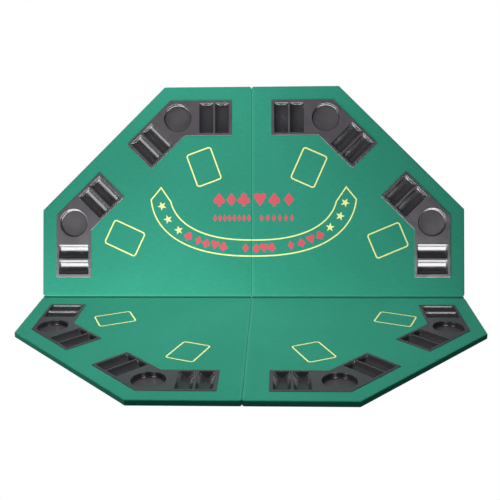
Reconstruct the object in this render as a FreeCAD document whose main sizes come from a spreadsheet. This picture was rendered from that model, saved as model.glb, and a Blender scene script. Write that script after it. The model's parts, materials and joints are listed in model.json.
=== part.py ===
import FreeCAD, Part
import math
import os
import Sketcher
from FreeCAD import Placement, Rotation, Vector

# Folding poker table top: a regular octagon of felt-covered board in four quarters.
# Frame: X to the right along the long seam, Y to the rear, Z up. The origin lies on the
# surface that the front half rests on, under the middle of the whole object's outline.
# The front half lies flat and the rear half is raised about the long seam.
# Every quarter is laid out flat first, about the middle of the octagon and with its underside
# at Z = 0. The rear ones are then turned, and all of them are moved to the frame's origin.

OUT = "parts"
os.makedirs(OUT, exist_ok=True)
doc = FreeCAD.newDocument("PokerTableTop")
sheet = doc.addObject("Spreadsheet::Sheet", "Dims")

DIMENSIONS = {
    # the octagon and its four quarters
    "across_flats": 1220,
    "board_thickness": 12,
    "foam_thickness": 2,
    "felt_thickness": 1,
    "hem_width": 25,
    "long_gap": 4,
    "short_gap": 0.8,
    "end_corner_round": 7,
    "other_corner_round": 3.5,
    "edge_round": 2.9,
    # the fold: the long seam's turning line stands above the felt
    "fold_angle": 72,
    "turning_rise": 1.7,
    "tape_thickness": 0.6,
    "tape_height": 10,
    "tape_low": 2,
    "tape_end_gap": 8,
    # the eight moulded trays
    "half_corner": 67.5,
    "tray_margin": 40,
    "arm_width": 101.5,
    "arm_length": 179,
    "flange_thickness": 1.5,
    "flange_lap": 6,
    "tray_wall": 1.5,
    "tray_foot_gap": 0.4,
    "cup_radius": 40,
    "cup_floor_round": 3,
    "rim_round": 0.7,
    "slot_length": 86,
    "slot_radius": 20.5,
    "slot_depth": 14.4,
    "slot_spacing": 45.6,
    "slot_end": 28.6,
    # the two butt hinges on the back of the rear half
    "leaf_length": 50,
    "leaf_width": 23,
    "leaf_thickness": 1.2,
    "leaf_notch": 2.4,
    "tab_start": 0.9,
    "axis_drop": 2.45,
    "barrel_radius": 2.15,
    "bore_radius": 1.05,
    "pin_radius": 1,
    "knuckle_gap": 0.3,
    "hinge_low": 120,
    "hinge_high": 490,
    "screw_inset": 13,
    "screw_spacing": 17,
    "screw_radius": 1.4,
    "screw_head_radius": 2.6,
    "screw_length": 9,
    "recess_length": 3,
    "recess_width": 0.6,
    "recess_depth": 0.7,
}
for row, (alias, number) in enumerate(DIMENSIONS.items(), 1):
    sheet.set(f"A{row}", alias)
    sheet.set(f"B{row}", str(number))
    sheet.setAlias(f"B{row}", alias)
doc.recompute()

UP = Vector(0, 0, 1)
KNUCKLES = 5
SCREWS_PER_LEAF = 3
HINGES = {"lower": "hinge_low", "upper": "hinge_high"}
# quarter: side of the short seam, side of the long seam
QUARTERS = {
    "front_left": (-1, -1),
    "front_right": (1, -1),
    "rear_left": (-1, 1),
    "rear_right": (1, 1),
}
# tray: angle of its corner of the octagon, from the long seam
TRAYS = {"side": 22.5, "end": 67.5}
finished = []


def formula(text):
    """A formula of bare aliases, made one that other objects can read."""
    for alias in DIMENSIONS:
        text = text.replace(f"[{alias}]", f"Dims.{alias}")
    return text


def value(text):
    """The number that a formula of bracketed aliases gives."""
    return float(sheet.evalExpression(formula(text)))


def bind(item, **formulas):
    """Tie properties of an object to the sheet."""
    for name, text in formulas.items():
        item.setExpression(name.replace("__", "."), formula(text))
    return item


def finish(item, label, place=None):
    """Name a sub-part and put it in its place."""
    item.Label = label
    if place is not None:
        item.Placement = place
    finished.append(item)
    return item


DECK = "([board_thickness] + [foam_thickness] + [felt_thickness])"
TOP = f"({DECK} + [flange_thickness])"
HALF = "([across_flats] / 2)"
HALF_SIDE = f"({HALF} * tan(22.5))"


def front_place():
    """The move from the middle of the octagon to the middle of the raised table top."""
    rear_reach = f"({HALF} * cos([fold_angle]) + ({DECK} + [turning_rise]) * sin([fold_angle]))"
    return Placement(Vector(0, value(f"({HALF} - {rear_reach}) / 2"), 0), Rotation())


def fold_place():
    """The turn of the rear half about the long seam, then the same move."""
    centre = Vector(0, 0, value(f"{DECK} + [turning_rise]"))
    turn = Placement(Vector(), Rotation(Vector(1, 0, 0), value("[fold_angle]")), centre)
    return front_place().multiply(turn)


def quarter_place(quarter):
    if QUARTERS[quarter][1] > 0:
        return fold_place()
    return front_place()


def tray_place(quarter, angle):
    """A tray's frame on the flat table: its outer corner, with +Y towards the middle."""
    across, along = QUARTERS[quarter]
    reach = value(f"({HALF} - [tray_margin]) / cos(22.5)")
    turn = math.radians(angle)
    corner = Vector(across * math.cos(turn), along * math.sin(turn), 0) * reach
    facing = math.degrees(math.atan2(corner.y, corner.x)) + 90
    return Placement(corner, Rotation(UP, facing))


# ---- sketch helpers --------------------------------------------------------------------

def new_body(label):
    return doc.addObject("PartDesign::Body", label)


def plane_of(body, role):
    return [item for item in body.Origin.OriginFeatures if item.Role == role][0]


def new_sketch(body, name, lift="0", role="XY_Plane", offset=None):
    """A sketch on one of its body's planes, raised by a formula or set off by a placement."""
    sketch = body.newObject("Sketcher::SketchObject", name)
    sketch.AttachmentSupport = [(plane_of(body, role), "")]
    sketch.MapMode = "FlatFace"
    if offset is not None:
        sketch.AttachmentOffset = offset
    bind(sketch, AttachmentOffset__Base__z=lift)
    return sketch


def hold(sketch, kind, *spot, text):
    """A sketch constraint whose value is a formula."""
    number = sketch.addConstraint(Sketcher.Constraint(kind, *spot, value(text)))
    sketch.setExpression(f"Constraints[{number}]", formula(text))


def draw_loop(sketch, corners):
    """A closed loop of straight lines; each corner is a pair of formulas."""
    spots = [Vector(value(across), value(along), 0) for across, along in corners]
    first = sketch.GeometryCount
    count = len(spots)
    for step in range(count):
        sketch.addGeometry(Part.LineSegment(spots[step], spots[(step + 1) % count]), False)
    for step in range(count):
        following = first + (step + 1) % count
        sketch.addConstraint(Sketcher.Constraint("Coincident", first + step, 2, following, 1))
    for step, (across, along) in enumerate(corners):
        hold(sketch, "DistanceX", first + step, 1, text=across)
        hold(sketch, "DistanceY", first + step, 1, text=along)


def draw_circle(sketch, across, along, radius):
    circle = Part.Circle(Vector(value(across), value(along), 0), UP, value(radius))
    number = sketch.addGeometry(circle, False)
    hold(sketch, "DistanceX", number, 3, text=across)
    hold(sketch, "DistanceY", number, 3, text=along)
    hold(sketch, "Radius", number, text=radius)


def pad(body, name, sketch, length, down=False):
    item = body.newObject("PartDesign::Pad", name)
    item.Profile = sketch
    item.Reversed = down
    bind(item, Length=length)
    doc.recompute()
    return item


def pocket(body, name, sketch, length, up=False):
    """A cut below its sketch, or above it; it has to take material away."""
    before = body.Shape.Volume
    item = body.newObject("PartDesign::Pocket", name)
    item.Profile = sketch
    item.Reversed = up
    bind(item, Length=length)
    doc.recompute()
    if body.Shape.Volume >= before:
        raise ValueError(f"{name} cuts nothing")
    return item


def round_edges(body, name, test, radius):
    """Fillet the edges of a body's last feature that pass a test."""
    base = body.Tip
    names = [f"Edge{k}" for k, edge in enumerate(base.Shape.Edges, 1) if test(edge)]
    if not names:
        raise ValueError(f"{name} finds no edge")
    item = body.newObject("PartDesign::Fillet", name)
    item.Base = (base, names)
    bind(item, Radius=radius)
    doc.recompute()
    return item


def is_upright(edge):
    box = edge.BoundBox
    return box.ZLength > 0.5 and box.XLength < 1e-6 and box.YLength < 1e-6


def level_test(height):
    def test(edge):
        box = edge.BoundBox
        return abs(box.ZMin - height) < 1e-6 and abs(box.ZMax - height) < 1e-6
    return test


# ---- the quarter outline ---------------------------------------------------------------

def quarter_corners(quarter, inset):
    """The five corners of a quarter: middle, seam end, two on the octagon, other seam end."""
    across, along = QUARTERS[quarter]
    slant = f"({inset} * tan(22.5))"
    flat = [
        (f"[short_gap] / 2 + {inset}", f"[long_gap] / 2 + {inset}"),
        (f"{HALF} - {inset}", f"[long_gap] / 2 + {inset}"),
        (f"{HALF} - {inset}", f"{HALF_SIDE} - {slant}"),
        (f"{HALF_SIDE} - {slant}", f"{HALF} - {inset}"),
        (f"[short_gap] / 2 + {inset}", f"{HALF} - {inset}"),
    ]
    return [(f"{across} * ({x})", f"{along} * ({y})") for x, y in flat]


def near_corner(corners):
    """A test for the upright edges at given corners."""
    spots = [Vector(value(x), value(y), 0) for x, y in corners]

    def test(edge):
        middle = edge.CenterOfMass
        flat = Vector(middle.x, middle.y, 0)
        return is_upright(edge) and any((flat - spot).Length < 0.1 for spot in spots)
    return test


def round_plan(body, quarter, inset):
    """Round the corners where seams meet the rim, and the other three."""
    corners = quarter_corners(quarter, inset)
    ends = near_corner([corners[1], corners[4]])
    others = near_corner([corners[0], corners[2], corners[3]])
    round_edges(body, "SeamEndCorners", ends, f"[end_corner_round] - {inset}")
    round_edges(body, "OtherCorners", others, f"[other_corner_round] - {inset}")


def arm_spot(side, along_arm, inward):
    """A point of a tray, from its distances along an outer edge and in from that edge."""
    x = f"{side} * (({along_arm}) * sin([half_corner]) - ({inward}) * cos([half_corner]))"
    y = f"({along_arm}) * cos([half_corner]) + ({inward}) * sin([half_corner])"
    return x, y


def tray_corners(inset):
    """The six corners of the bent tray outline, drawn in by an inset."""
    near = f"{inset}"
    far = f"[arm_width] - {inset}"
    end = f"[arm_length] - {inset}"
    bend = "tan(90 - [half_corner])"
    return [
        arm_spot(1, f"({near}) * {bend}", near),
        arm_spot(1, end, near),
        arm_spot(1, end, far),
        arm_spot(1, f"({far}) * {bend}", far),
        arm_spot(-1, end, far),
        arm_spot(-1, end, near),
    ]


def cut_tray_holes(body, quarter, height):
    """The two openings that the trays drop into."""
    for name, angle in TRAYS.items():
        seat = tray_place(quarter, angle)
        sketch = new_sketch(body, f"{name}TrayHole", offset=seat)
        draw_loop(sketch, tray_corners("[flange_lap]"))
        pocket(body, f"{name}TrayCut", sketch, height, up=True)


# ---- boards and foam -------------------------------------------------------------------

def screw_spots(side):
    """Where the hinge screws stand on one side of the short seam, on the flat table."""
    for alias in HINGES.values():
        for step in range(SCREWS_PER_LEAF):
            shift = step - (SCREWS_PER_LEAF - 1) / 2
            yield f"{side} * [screw_inset]", f"[{alias}] + {shift} * [screw_spacing]"


def make_board(quarter):
    """Quarter of fibreboard, with a shallow step below for the turned-in felt."""
    body = new_body(f"board_{quarter}")
    sketch = new_sketch(body, "Outline", lift="[felt_thickness]")
    draw_loop(sketch, quarter_corners(quarter, "[felt_thickness]"))
    pad(body, "Slab", sketch, "[board_thickness] - [felt_thickness]")
    round_plan(body, quarter, "[felt_thickness]")
    foot = new_sketch(body, "FootOutline")
    draw_loop(foot, quarter_corners(quarter, "([felt_thickness] + [hem_width])"))
    pad(body, "Foot", foot, "[felt_thickness]")
    cut_tray_holes(body, quarter, "[board_thickness]")
    across, along = QUARTERS[quarter]
    if along > 0:
        holes = new_sketch(body, "ScrewHoles")
        for x, y in screw_spots(across):
            draw_circle(holes, x, y, "[screw_radius]")
        pocket(body, "ScrewCuts", holes, "[screw_length]", up=True)
    finish(body, f"board_{quarter}", quarter_place(quarter))


def make_foam(quarter):
    """Soft underlay between board and felt, rounded at its upper edge."""
    body = new_body(f"foam_{quarter}")
    sketch = new_sketch(body, "Outline", lift="[board_thickness]")
    draw_loop(sketch, quarter_corners(quarter, "[felt_thickness]"))
    pad(body, "Sheet", sketch, "[foam_thickness]")
    round_plan(body, quarter, "[felt_thickness]")
    rim = level_test(value("[board_thickness] + [foam_thickness]"))
    round_edges(body, "RoundedRim", rim, "[edge_round] - [felt_thickness]")
    cut_tray_holes(body, quarter, DECK)
    finish(body, f"foam_{quarter}", quarter_place(quarter))


# ---- felt: an even skin wrapped round the padded board ------------------------------------

def flat_face(corners):
    spots = [Vector(value(x), value(y), 0) for x, y in corners]
    return Part.Face(Part.makePolygon(spots + spots[:1]))


def slab(quarter, inset, low, high, rounded):
    """A solid quarter between two heights, its rim rounded when it is a wrapped surface."""
    corners = quarter_corners(quarter, inset)
    solid = flat_face(corners).extrude(UP * value(f"{high} - {low}"))
    solid.translate(UP * value(low))
    if not rounded:
        return solid
    ends = near_corner([corners[1], corners[4]])
    edges = [edge for edge in solid.Edges if ends(edge)]
    solid = solid.makeFillet(value(f"[end_corner_round] - {inset}"), edges)
    others = near_corner([corners[0], corners[2], corners[3]])
    edges = [edge for edge in solid.Edges if others(edge)]
    solid = solid.makeFillet(value(f"[other_corner_round] - {inset}"), edges)
    rim = level_test(value(high))
    edges = [edge for edge in solid.Edges if rim(edge)]
    return solid.makeFillet(value(f"[edge_round] - {inset}"), edges)


def make_felt(quarter):
    """Felt over the top, down the sides and turned in below as a hem."""
    inner = "[felt_thickness]"
    skin = slab(quarter, "0", "0", DECK, True)
    skin = skin.cut(slab(quarter, inner, inner, f"{DECK} - {inner}", True))
    skin = skin.cut(slab(quarter, "([felt_thickness] + [hem_width])", "0", inner, False))
    for angle in TRAYS.values():
        hole = flat_face(tray_corners("[flange_lap]")).extrude(UP * value(DECK))
        hole.Placement = tray_place(quarter, angle)
        skin = skin.cut(hole)
    across, along = QUARTERS[quarter]
    if along > 0:
        for x, y in screw_spots(across):
            spot = Vector(value(x), value(y), 0)
            skin = skin.cut(Part.makeCylinder(value("[screw_radius]"), value(inner), spot))
    item = doc.addObject("Part::Feature", f"felt_{quarter}")
    item.Shape = skin
    finish(item, f"felt_{quarter}", quarter_place(quarter))


# ---- trays: one cup well and four chip troughs each -------------------------------------

def slot_ends(step):
    """Distances along an arm of a trough's two edges, counted from the arm's end."""
    middle = f"([arm_length] - [slot_end] - {step} * [slot_spacing])"
    chord = "sqrt([slot_radius]^2 - ([slot_radius] - [slot_depth])^2)"
    return middle, chord


def make_tray(quarter, name, angle):
    body = new_body(f"chip_tray_{quarter}_{name}")
    flange = new_sketch(body, "FlangeOutline", lift=DECK)
    draw_loop(flange, tray_corners("0"))
    pad(body, "Flange", flange, "[flange_thickness]")
    cup_y = "[arm_width] / 2 / sin([half_corner])"
    well = new_sketch(body, "CupOutline", lift="[tray_foot_gap]")
    draw_circle(well, "0", cup_y, "[cup_radius] + [tray_wall]")
    pad(body, "CupWall", well, f"{DECK} - [tray_foot_gap]")
    trough_low = f"{TOP} - [slot_depth] - [tray_wall]"
    boxes = new_sketch(body, "TroughOutlines", lift=trough_low)
    across_low = "([arm_width] - [slot_length]) / 2 - [tray_wall]"
    across_high = "([arm_width] + [slot_length]) / 2 + [tray_wall]"
    for step in range(2):
        middle, chord = slot_ends(step)
        low = f"{middle} - {chord} - [tray_wall]"
        high = f"{middle} + {chord} + [tray_wall]"
        draw_loop(boxes, [
            arm_spot(1, low, across_low),
            arm_spot(1, high, across_low),
            arm_spot(1, high, across_high),
            arm_spot(1, low, across_high),
        ])
    box_pad = pad(body, "TroughWalls", boxes, f"{DECK} - ({trough_low})")
    cuts = []
    for step in range(2):
        cuts.append(cut_trough(body, step))
    mirror = body.newObject("PartDesign::Mirrored", "OtherArm")
    mirror.Originals = [box_pad] + cuts
    mirror.MirrorPlane = (plane_of(body, "YZ_Plane"), [""])
    body.Tip = mirror
    doc.recompute()
    cup = new_sketch(body, "CupCircle", lift=TOP)
    draw_circle(cup, "0", cup_y, "[cup_radius]")
    pocket(body, "Cup", cup, f"{TOP} - [tray_foot_gap] - [tray_wall]")
    cup_floor = level_test(value("[tray_foot_gap] + [tray_wall]"))
    round_edges(body, "CupFloorRound", cup_floor, "[cup_floor_round]")
    round_edges(body, "FlangeAndMouthEdges", level_test(value(TOP)), "[rim_round]")
    place = quarter_place(quarter).multiply(tray_place(quarter, angle))
    finish(body, f"chip_tray_{quarter}_{name}", place)


def cut_trough(body, step):
    """A lying cylinder that leaves a trough for a row of chips, across the arm."""
    middle, chord = slot_ends(step)
    start = arm_spot(1, middle, "([arm_width] - [slot_length]) / 2")
    lift = value(f"{TOP} + [slot_radius] - [slot_depth]")
    spot = Vector(value(start[0]), value(start[1]), lift)
    across_arm = Vector(-math.cos(math.radians(value("[half_corner]"))),
                        math.sin(math.radians(value("[half_corner]"))), 0)
    before = body.Shape.Volume
    item = body.newObject("PartDesign::SubtractiveCylinder", f"Trough{step + 1}")
    item.AttachmentSupport = [(plane_of(body, "XY_Plane"), "")]
    item.MapMode = "FlatFace"
    item.AttachmentOffset = Placement(spot, Rotation(UP, across_arm))
    bind(item, Radius="[slot_radius]", Height="[slot_length]")
    body.Tip = item
    doc.recompute()
    if body.Shape.Volume >= before:
        raise ValueError(f"{item.Name} cuts nothing")
    return item


# ---- long seam: a strip of cloth hinge tape on each half ---------------------------------

def make_tape(side):
    """The part of the cloth hinge that is glued to the front quarter's seam edge."""
    name = "left" if side < 0 else "right"
    item = doc.addObject("Part::Box", f"seam_tape_{name}")
    bind(
        item,
        Length=f"{HALF} - 2 * [tape_end_gap]",
        Width="[tape_thickness]",
        Height="[tape_height]",
    )
    start = value("[tape_end_gap]") if side > 0 else -value(f"{HALF} - [tape_end_gap]")
    corner = Vector(start, -value("[long_gap] / 2"), value("[tape_low]"))
    finish(item, f"seam_tape_{name}", front_place().multiply(Placement(corner, Rotation())))


# ---- short seam of the rear half: two butt hinges on its back ---------------------------

def knuckle_span(number):
    """Where a knuckle starts along the hinge, and how long it is."""
    pitch = f"([leaf_length] / {KNUCKLES})"
    start = f"(0 - [leaf_length] / 2 + {number} * {pitch} + [knuckle_gap] / 2)"
    return start, f"{pitch} - [knuckle_gap]"


def make_leaf(hinge, side):
    """A hinge leaf: plate, its own knuckles with tabs, a bore and countersunk holes."""
    name = "left" if side < 0 else "right"
    body = new_body(f"back_hinge_{hinge}_{name}_leaf")
    half_length = "[leaf_length] / 2"
    outline = new_sketch(body, "PlateOutline")
    draw_loop(outline, [
        (f"{side} * [leaf_notch]", f"0 - {half_length}"),
        (f"{side} * [leaf_width]", f"0 - {half_length}"),
        (f"{side} * [leaf_width]", half_length),
        (f"{side} * [leaf_notch]", half_length),
    ])
    pad(body, "Plate", outline, "[leaf_thickness]", down=True)
    corner = near_corner([(f"{side} * [leaf_width]", f"0 - {half_length}"),
                          (f"{side} * [leaf_width]", half_length)])
    round_edges(body, "PlateCorners", corner, "[barrel_radius]")
    own = range(0, KNUCKLES, 2) if side < 0 else range(1, KNUCKLES, 2)
    tabs = new_sketch(body, "Tabs")
    for number in own:
        start, length = knuckle_span(number)
        draw_loop(tabs, [
            (f"{side} * [tab_start]", start),
            (f"{side} * [leaf_width] / 2", start),
            (f"{side} * [leaf_width] / 2", f"{start} + {length}"),
            (f"{side} * [tab_start]", f"{start} + {length}"),
        ])
    pad(body, "TabPlates", tabs, "[leaf_thickness]", down=True)
    for number in own:
        start, length = knuckle_span(number)
        ring = new_sketch(body, f"Knuckle{number}Circle", lift=f"0 - {start}", role="XZ_Plane")
        draw_circle(ring, "0", "0 - [axis_drop]", "[barrel_radius]")
        pad(body, f"Knuckle{number}", ring, length, down=True)
    bore = new_sketch(body, "BoreCircle", lift=half_length, role="XZ_Plane")
    draw_circle(bore, "0", "0 - [axis_drop]", "[bore_radius]")
    pocket(body, "Bore", bore, "[leaf_length]")
    for step in range(SCREWS_PER_LEAF):
        cut_countersink(body, side, step)
    place = fold_place().multiply(hinge_place(hinge))
    finish(body, f"back_hinge_{hinge}_{name}_leaf", place)


def hinge_place(hinge):
    return Placement(Vector(0, value(f"[{HINGES[hinge]}]"), 0), Rotation())


def cut_countersink(body, side, step):
    """A conical seat for one screw head through the plate."""
    shift = value("[screw_spacing]") * (step - (SCREWS_PER_LEAF - 1) / 2)
    spot = Vector(side * value("[screw_inset]"), shift, -value("[leaf_thickness]"))
    item = body.newObject("PartDesign::SubtractiveCone", f"Countersink{step + 1}")
    item.AttachmentSupport = [(plane_of(body, "XY_Plane"), "")]
    item.MapMode = "FlatFace"
    item.AttachmentOffset = Placement(spot, Rotation())
    bind(
        item,
        Radius1="[screw_head_radius]",
        Radius2="[screw_radius]",
        Height="[leaf_thickness]",
    )
    body.Tip = item
    doc.recompute()


def make_pin(hinge):
    item = doc.addObject("Part::Cylinder", f"back_hinge_{hinge}_pin")
    bind(item, Radius="[pin_radius]", Height="[leaf_length]")
    spot = Vector(0, -value("[leaf_length] / 2"), -value("[axis_drop]"))
    lying = Placement(spot, Rotation(UP, Vector(0, 1, 0)))
    place = fold_place().multiply(hinge_place(hinge)).multiply(lying)
    finish(item, f"back_hinge_{hinge}_pin", place)


def screw_solid():
    """One countersunk screw pointing up, its head flush with the leaf, cross recess below."""
    head = value("[leaf_thickness]")
    start = Vector(0, 0, -head)
    solid = Part.makeCone(value("[screw_head_radius]"), value("[screw_radius]"), head, start)
    solid = solid.fuse(Part.makeCylinder(value("[screw_radius]"), value("[screw_length]")))
    long, wide, deep = (value(f"[recess_{word}]") for word in ("length", "width", "depth"))
    for length, width in ((long, wide), (wide, long)):
        corner = Vector(-length / 2, -width / 2, -head)
        solid = solid.cut(Part.makeBox(length, width, deep, corner))
    return solid.removeSplitter()


def make_screws(side):
    """The six screws of one side's two leaves, as separate solids in one node."""
    name = "left" if side < 0 else "right"
    screws = []
    for x, y in screw_spots(side):
        screw = screw_solid()
        screw.translate(Vector(value(x), value(y), 0))
        screws.append(screw)
    item = doc.addObject("Part::Feature", f"hinge_screws_{name}")
    item.Shape = Part.makeCompound(screws)
    finish(item, f"hinge_screws_{name}", fold_place())


# ---- the whole table top -----------------------------------------------------------------

for quarter in QUARTERS:
    make_board(quarter)
    make_foam(quarter)
    make_felt(quarter)
    for name, angle in TRAYS.items():
        make_tray(quarter, name, angle)
for side in (-1, 1):
    make_tape(side)
    make_screws(side)
    for hinge in HINGES:
        make_leaf(hinge, side)
for hinge in HINGES:
    make_pin(hinge)

doc.recompute()
for item in doc.Objects:
    if "Invalid" in item.State or "Error" in item.State:
        raise ValueError(f"{item.Name} failed: {item.State}")
for item in finished:
    if item.Shape.isNull() or not item.Shape.isValid():
        raise ValueError(f"{item.Label} has no valid shape")
for item in finished:
    item.Shape.exportStep(os.path.join(OUT, f"{item.Label}.step"))
    print(item.Label, len(item.Shape.Solids), round(item.Shape.Volume, 1))
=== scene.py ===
"""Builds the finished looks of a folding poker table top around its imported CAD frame."""

import json
import math

import bmesh
import bpy
from mathutils import Euler, Matrix, Vector, geometry, kdtree, noise

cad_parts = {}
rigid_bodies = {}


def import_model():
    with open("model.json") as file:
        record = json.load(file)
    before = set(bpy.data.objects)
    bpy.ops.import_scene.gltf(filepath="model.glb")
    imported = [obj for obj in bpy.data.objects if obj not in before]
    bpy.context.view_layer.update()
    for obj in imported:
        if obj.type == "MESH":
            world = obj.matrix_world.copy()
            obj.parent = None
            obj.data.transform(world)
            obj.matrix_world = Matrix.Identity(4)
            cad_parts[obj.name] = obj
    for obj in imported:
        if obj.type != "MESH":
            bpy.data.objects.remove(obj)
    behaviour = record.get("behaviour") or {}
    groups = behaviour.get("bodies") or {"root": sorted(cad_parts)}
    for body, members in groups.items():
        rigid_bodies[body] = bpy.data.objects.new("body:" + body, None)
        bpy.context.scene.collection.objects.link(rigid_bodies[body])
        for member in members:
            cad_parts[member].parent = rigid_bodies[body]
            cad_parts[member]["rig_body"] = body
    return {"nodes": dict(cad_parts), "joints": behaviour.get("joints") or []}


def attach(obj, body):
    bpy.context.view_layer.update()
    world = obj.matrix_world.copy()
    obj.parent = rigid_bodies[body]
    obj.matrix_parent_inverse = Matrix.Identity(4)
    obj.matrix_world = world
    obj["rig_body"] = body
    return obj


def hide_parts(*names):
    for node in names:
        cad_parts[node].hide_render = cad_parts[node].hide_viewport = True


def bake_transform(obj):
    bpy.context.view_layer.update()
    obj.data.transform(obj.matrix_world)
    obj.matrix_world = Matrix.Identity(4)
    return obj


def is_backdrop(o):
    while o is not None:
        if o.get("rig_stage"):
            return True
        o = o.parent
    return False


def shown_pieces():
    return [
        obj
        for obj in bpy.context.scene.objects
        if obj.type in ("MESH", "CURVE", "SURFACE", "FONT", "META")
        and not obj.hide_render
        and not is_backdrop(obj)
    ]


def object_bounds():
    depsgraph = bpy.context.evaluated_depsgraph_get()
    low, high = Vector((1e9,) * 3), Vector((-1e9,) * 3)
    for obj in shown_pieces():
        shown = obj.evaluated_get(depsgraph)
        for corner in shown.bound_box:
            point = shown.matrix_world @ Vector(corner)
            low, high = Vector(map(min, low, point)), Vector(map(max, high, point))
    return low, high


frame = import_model()
CAD_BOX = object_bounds()

bl_info = {
    "name": "Folding poker table top",
    "version": (1, 0, 0),
    "blender": (4, 5, 0),
    "location": "View3D > Sidebar > Table top",
    "description": "Felt, prints, tapes, staples and finishes of a folding poker table top",
    "category": "Object",
}

# Every piece is drawn on the table laid out flat, in metres: the middle of the octagon is the
# origin, X runs along the long seam, Y to the rear and the boards' undersides are at Z = 0.
# Each half is then put where its boards lie at rest.
QUARTERS = {
    "front_left": (-1, -1),
    "front_right": (1, -1),
    "rear_left": (-1, 1),
    "rear_right": (1, 1),
}
TRAY_ANGLES = {"side": 22.5, "end": 67.5}
ARM_LEAN = math.radians(67.5)
JOINTS = {joint["name"]: joint for joint in frame["joints"]}
SEAM = Vector(JOINTS["long_seam_left"]["pos_m"])
LEAN = JOINTS["rear_short_seam"]["axis"]
FOLD = math.atan2(LEAN[2], LEAN[1])
CLOTH_MAP = "Cloth"
EDGE_STEPS = 6
CORNER_STEPS = 5
CUP_SIDES = 72
CUP_RIM_RINGS = 6
CUP_BEND_RINGS = 6
TROUGH_CORNER = 0.002
CUT_STRAY = 0.0011  # how far the hem's cut edge strays


# ---- colours and sizes that a user would change -------------------------------------------------

def linear(code):
    """Turn an sRGB hex code into linear red, green and blue."""
    def channel(start):
        share = int(code[start:start + 2], 16) / 255
        if share <= 0.04045:
            return share / 12.92
        return ((share + 0.055) / 1.055) ** 2.4
    return tuple(channel(start) for start in (0, 2, 4))


def length(name, default, description):
    """A size in metres."""
    return bpy.props.FloatProperty(
        name=name, description=description, default=default, precision=5, unit="LENGTH")


def colour(name, code, description):
    """A colour, from its sRGB hex code."""
    return bpy.props.FloatVectorProperty(
        name=name, description=description, default=linear(code), subtype="COLOR",
        size=3, min=0, max=1)


class TableSizes(bpy.types.PropertyGroup):
    """The padded quarters and the trays' openings in them."""

    across_flats: length("Across flats", 1.22, "Octagon's width from flat side to flat side")
    deck: length("Deck height", 0.015, "Board, foam and felt together")
    felt: length("Felt thickness", 0.001, "Thickness of the felt")
    foam: length("Foam thickness", 0.002, "Thickness of the underlay")
    hem: length("Hem width", 0.025, "Felt turned in under the board")
    long_gap: length("Long seam gap", 0.004, "Gap between the front and rear halves")
    short_gap: length("Short seam gap", 0.00012, "Gap between the naps of left and right")
    seam_round: length("Short seam rounding", 0.0012, "Rounding of the felt over that seam")
    long_round: length("Long seam rounding", 0.0016, "Rounding of the felt over the long seam")
    edge_round: length("Edge rounding", 0.0029, "Rounding of the felt over the rim")
    under_round: length("Lower edge rounding", 0.0014, "Rounding of the felt where it turns in")
    end_corner: length("Seam end rounding", 0.007, "Corner rounding where a seam meets the rim")
    other_corner: length("Corner rounding", 0.0035, "Rounding of the other corners")
    tray_margin: length("Tray margin", 0.04, "Rim of the table to outer edge of a tray")
    tray_lap: length("Tray lap", 0.006, "Felt hidden under a tray's flange")
    arm_width: length("Tray arm width", 0.1015, "Width of a tray's arm")
    arm_length: length("Tray arm length", 0.179, "Outer length of a tray's arm")
    middle_corner: length("Middle rounding", 0.0009, "Rounding where the four quarters meet")
    mesh_step: length("Mesh step", 0.011, "Spacing of the felt's points")
    waviness: length("Waviness", 0.00009, "How far the stretched felt dips")


class TraySizes(bpy.types.PropertyGroup):
    """The moulded trays."""

    flange: length("Flange thickness", 0.0015, "Plastic above the felt")
    wall: length("Wall thickness", 0.00135, "Thickness of the moulded shell")
    corner: length("Corner rounding", 0.0022, "Rounding of the flange's corners")
    lip: length("Edge rounding", 0.0008, "Rounding of the flange's upper edge")
    rim: length("Mouth rounding", 0.0011, "Rounding of the troughs' mouths")
    cup_rim: length("Cup rim rounding", 0.0016, "Rounding of the cup well's mouth")
    cup_radius: length("Cup radius", 0.04, "Radius of a cup well")
    cup_draft: length("Cup draft", 0.0007, "How much narrower the well's floor is")
    cup_floor: length("Cup floor height", 0.0019, "Underside of the board to the well's floor")
    cup_round: length("Cup floor rounding", 0.003, "Rounding between wall and floor")
    slot_length: length("Trough length", 0.086, "Length of a trough's mouth")
    slot_radius: length("Trough radius", 0.0205, "Radius of a trough's round bottom")
    slot_depth: length("Trough depth", 0.0144, "Depth of a trough")
    slot_spacing: length("Trough spacing", 0.0456, "Distance from trough to trough")
    slot_end: length("Trough end", 0.0286, "Arm's end to the first trough's middle")
    slot_draft: bpy.props.FloatProperty(
        name="Trough draft", description="Lean of the troughs' end walls",
        default=math.radians(15), unit="ROTATION")


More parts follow.
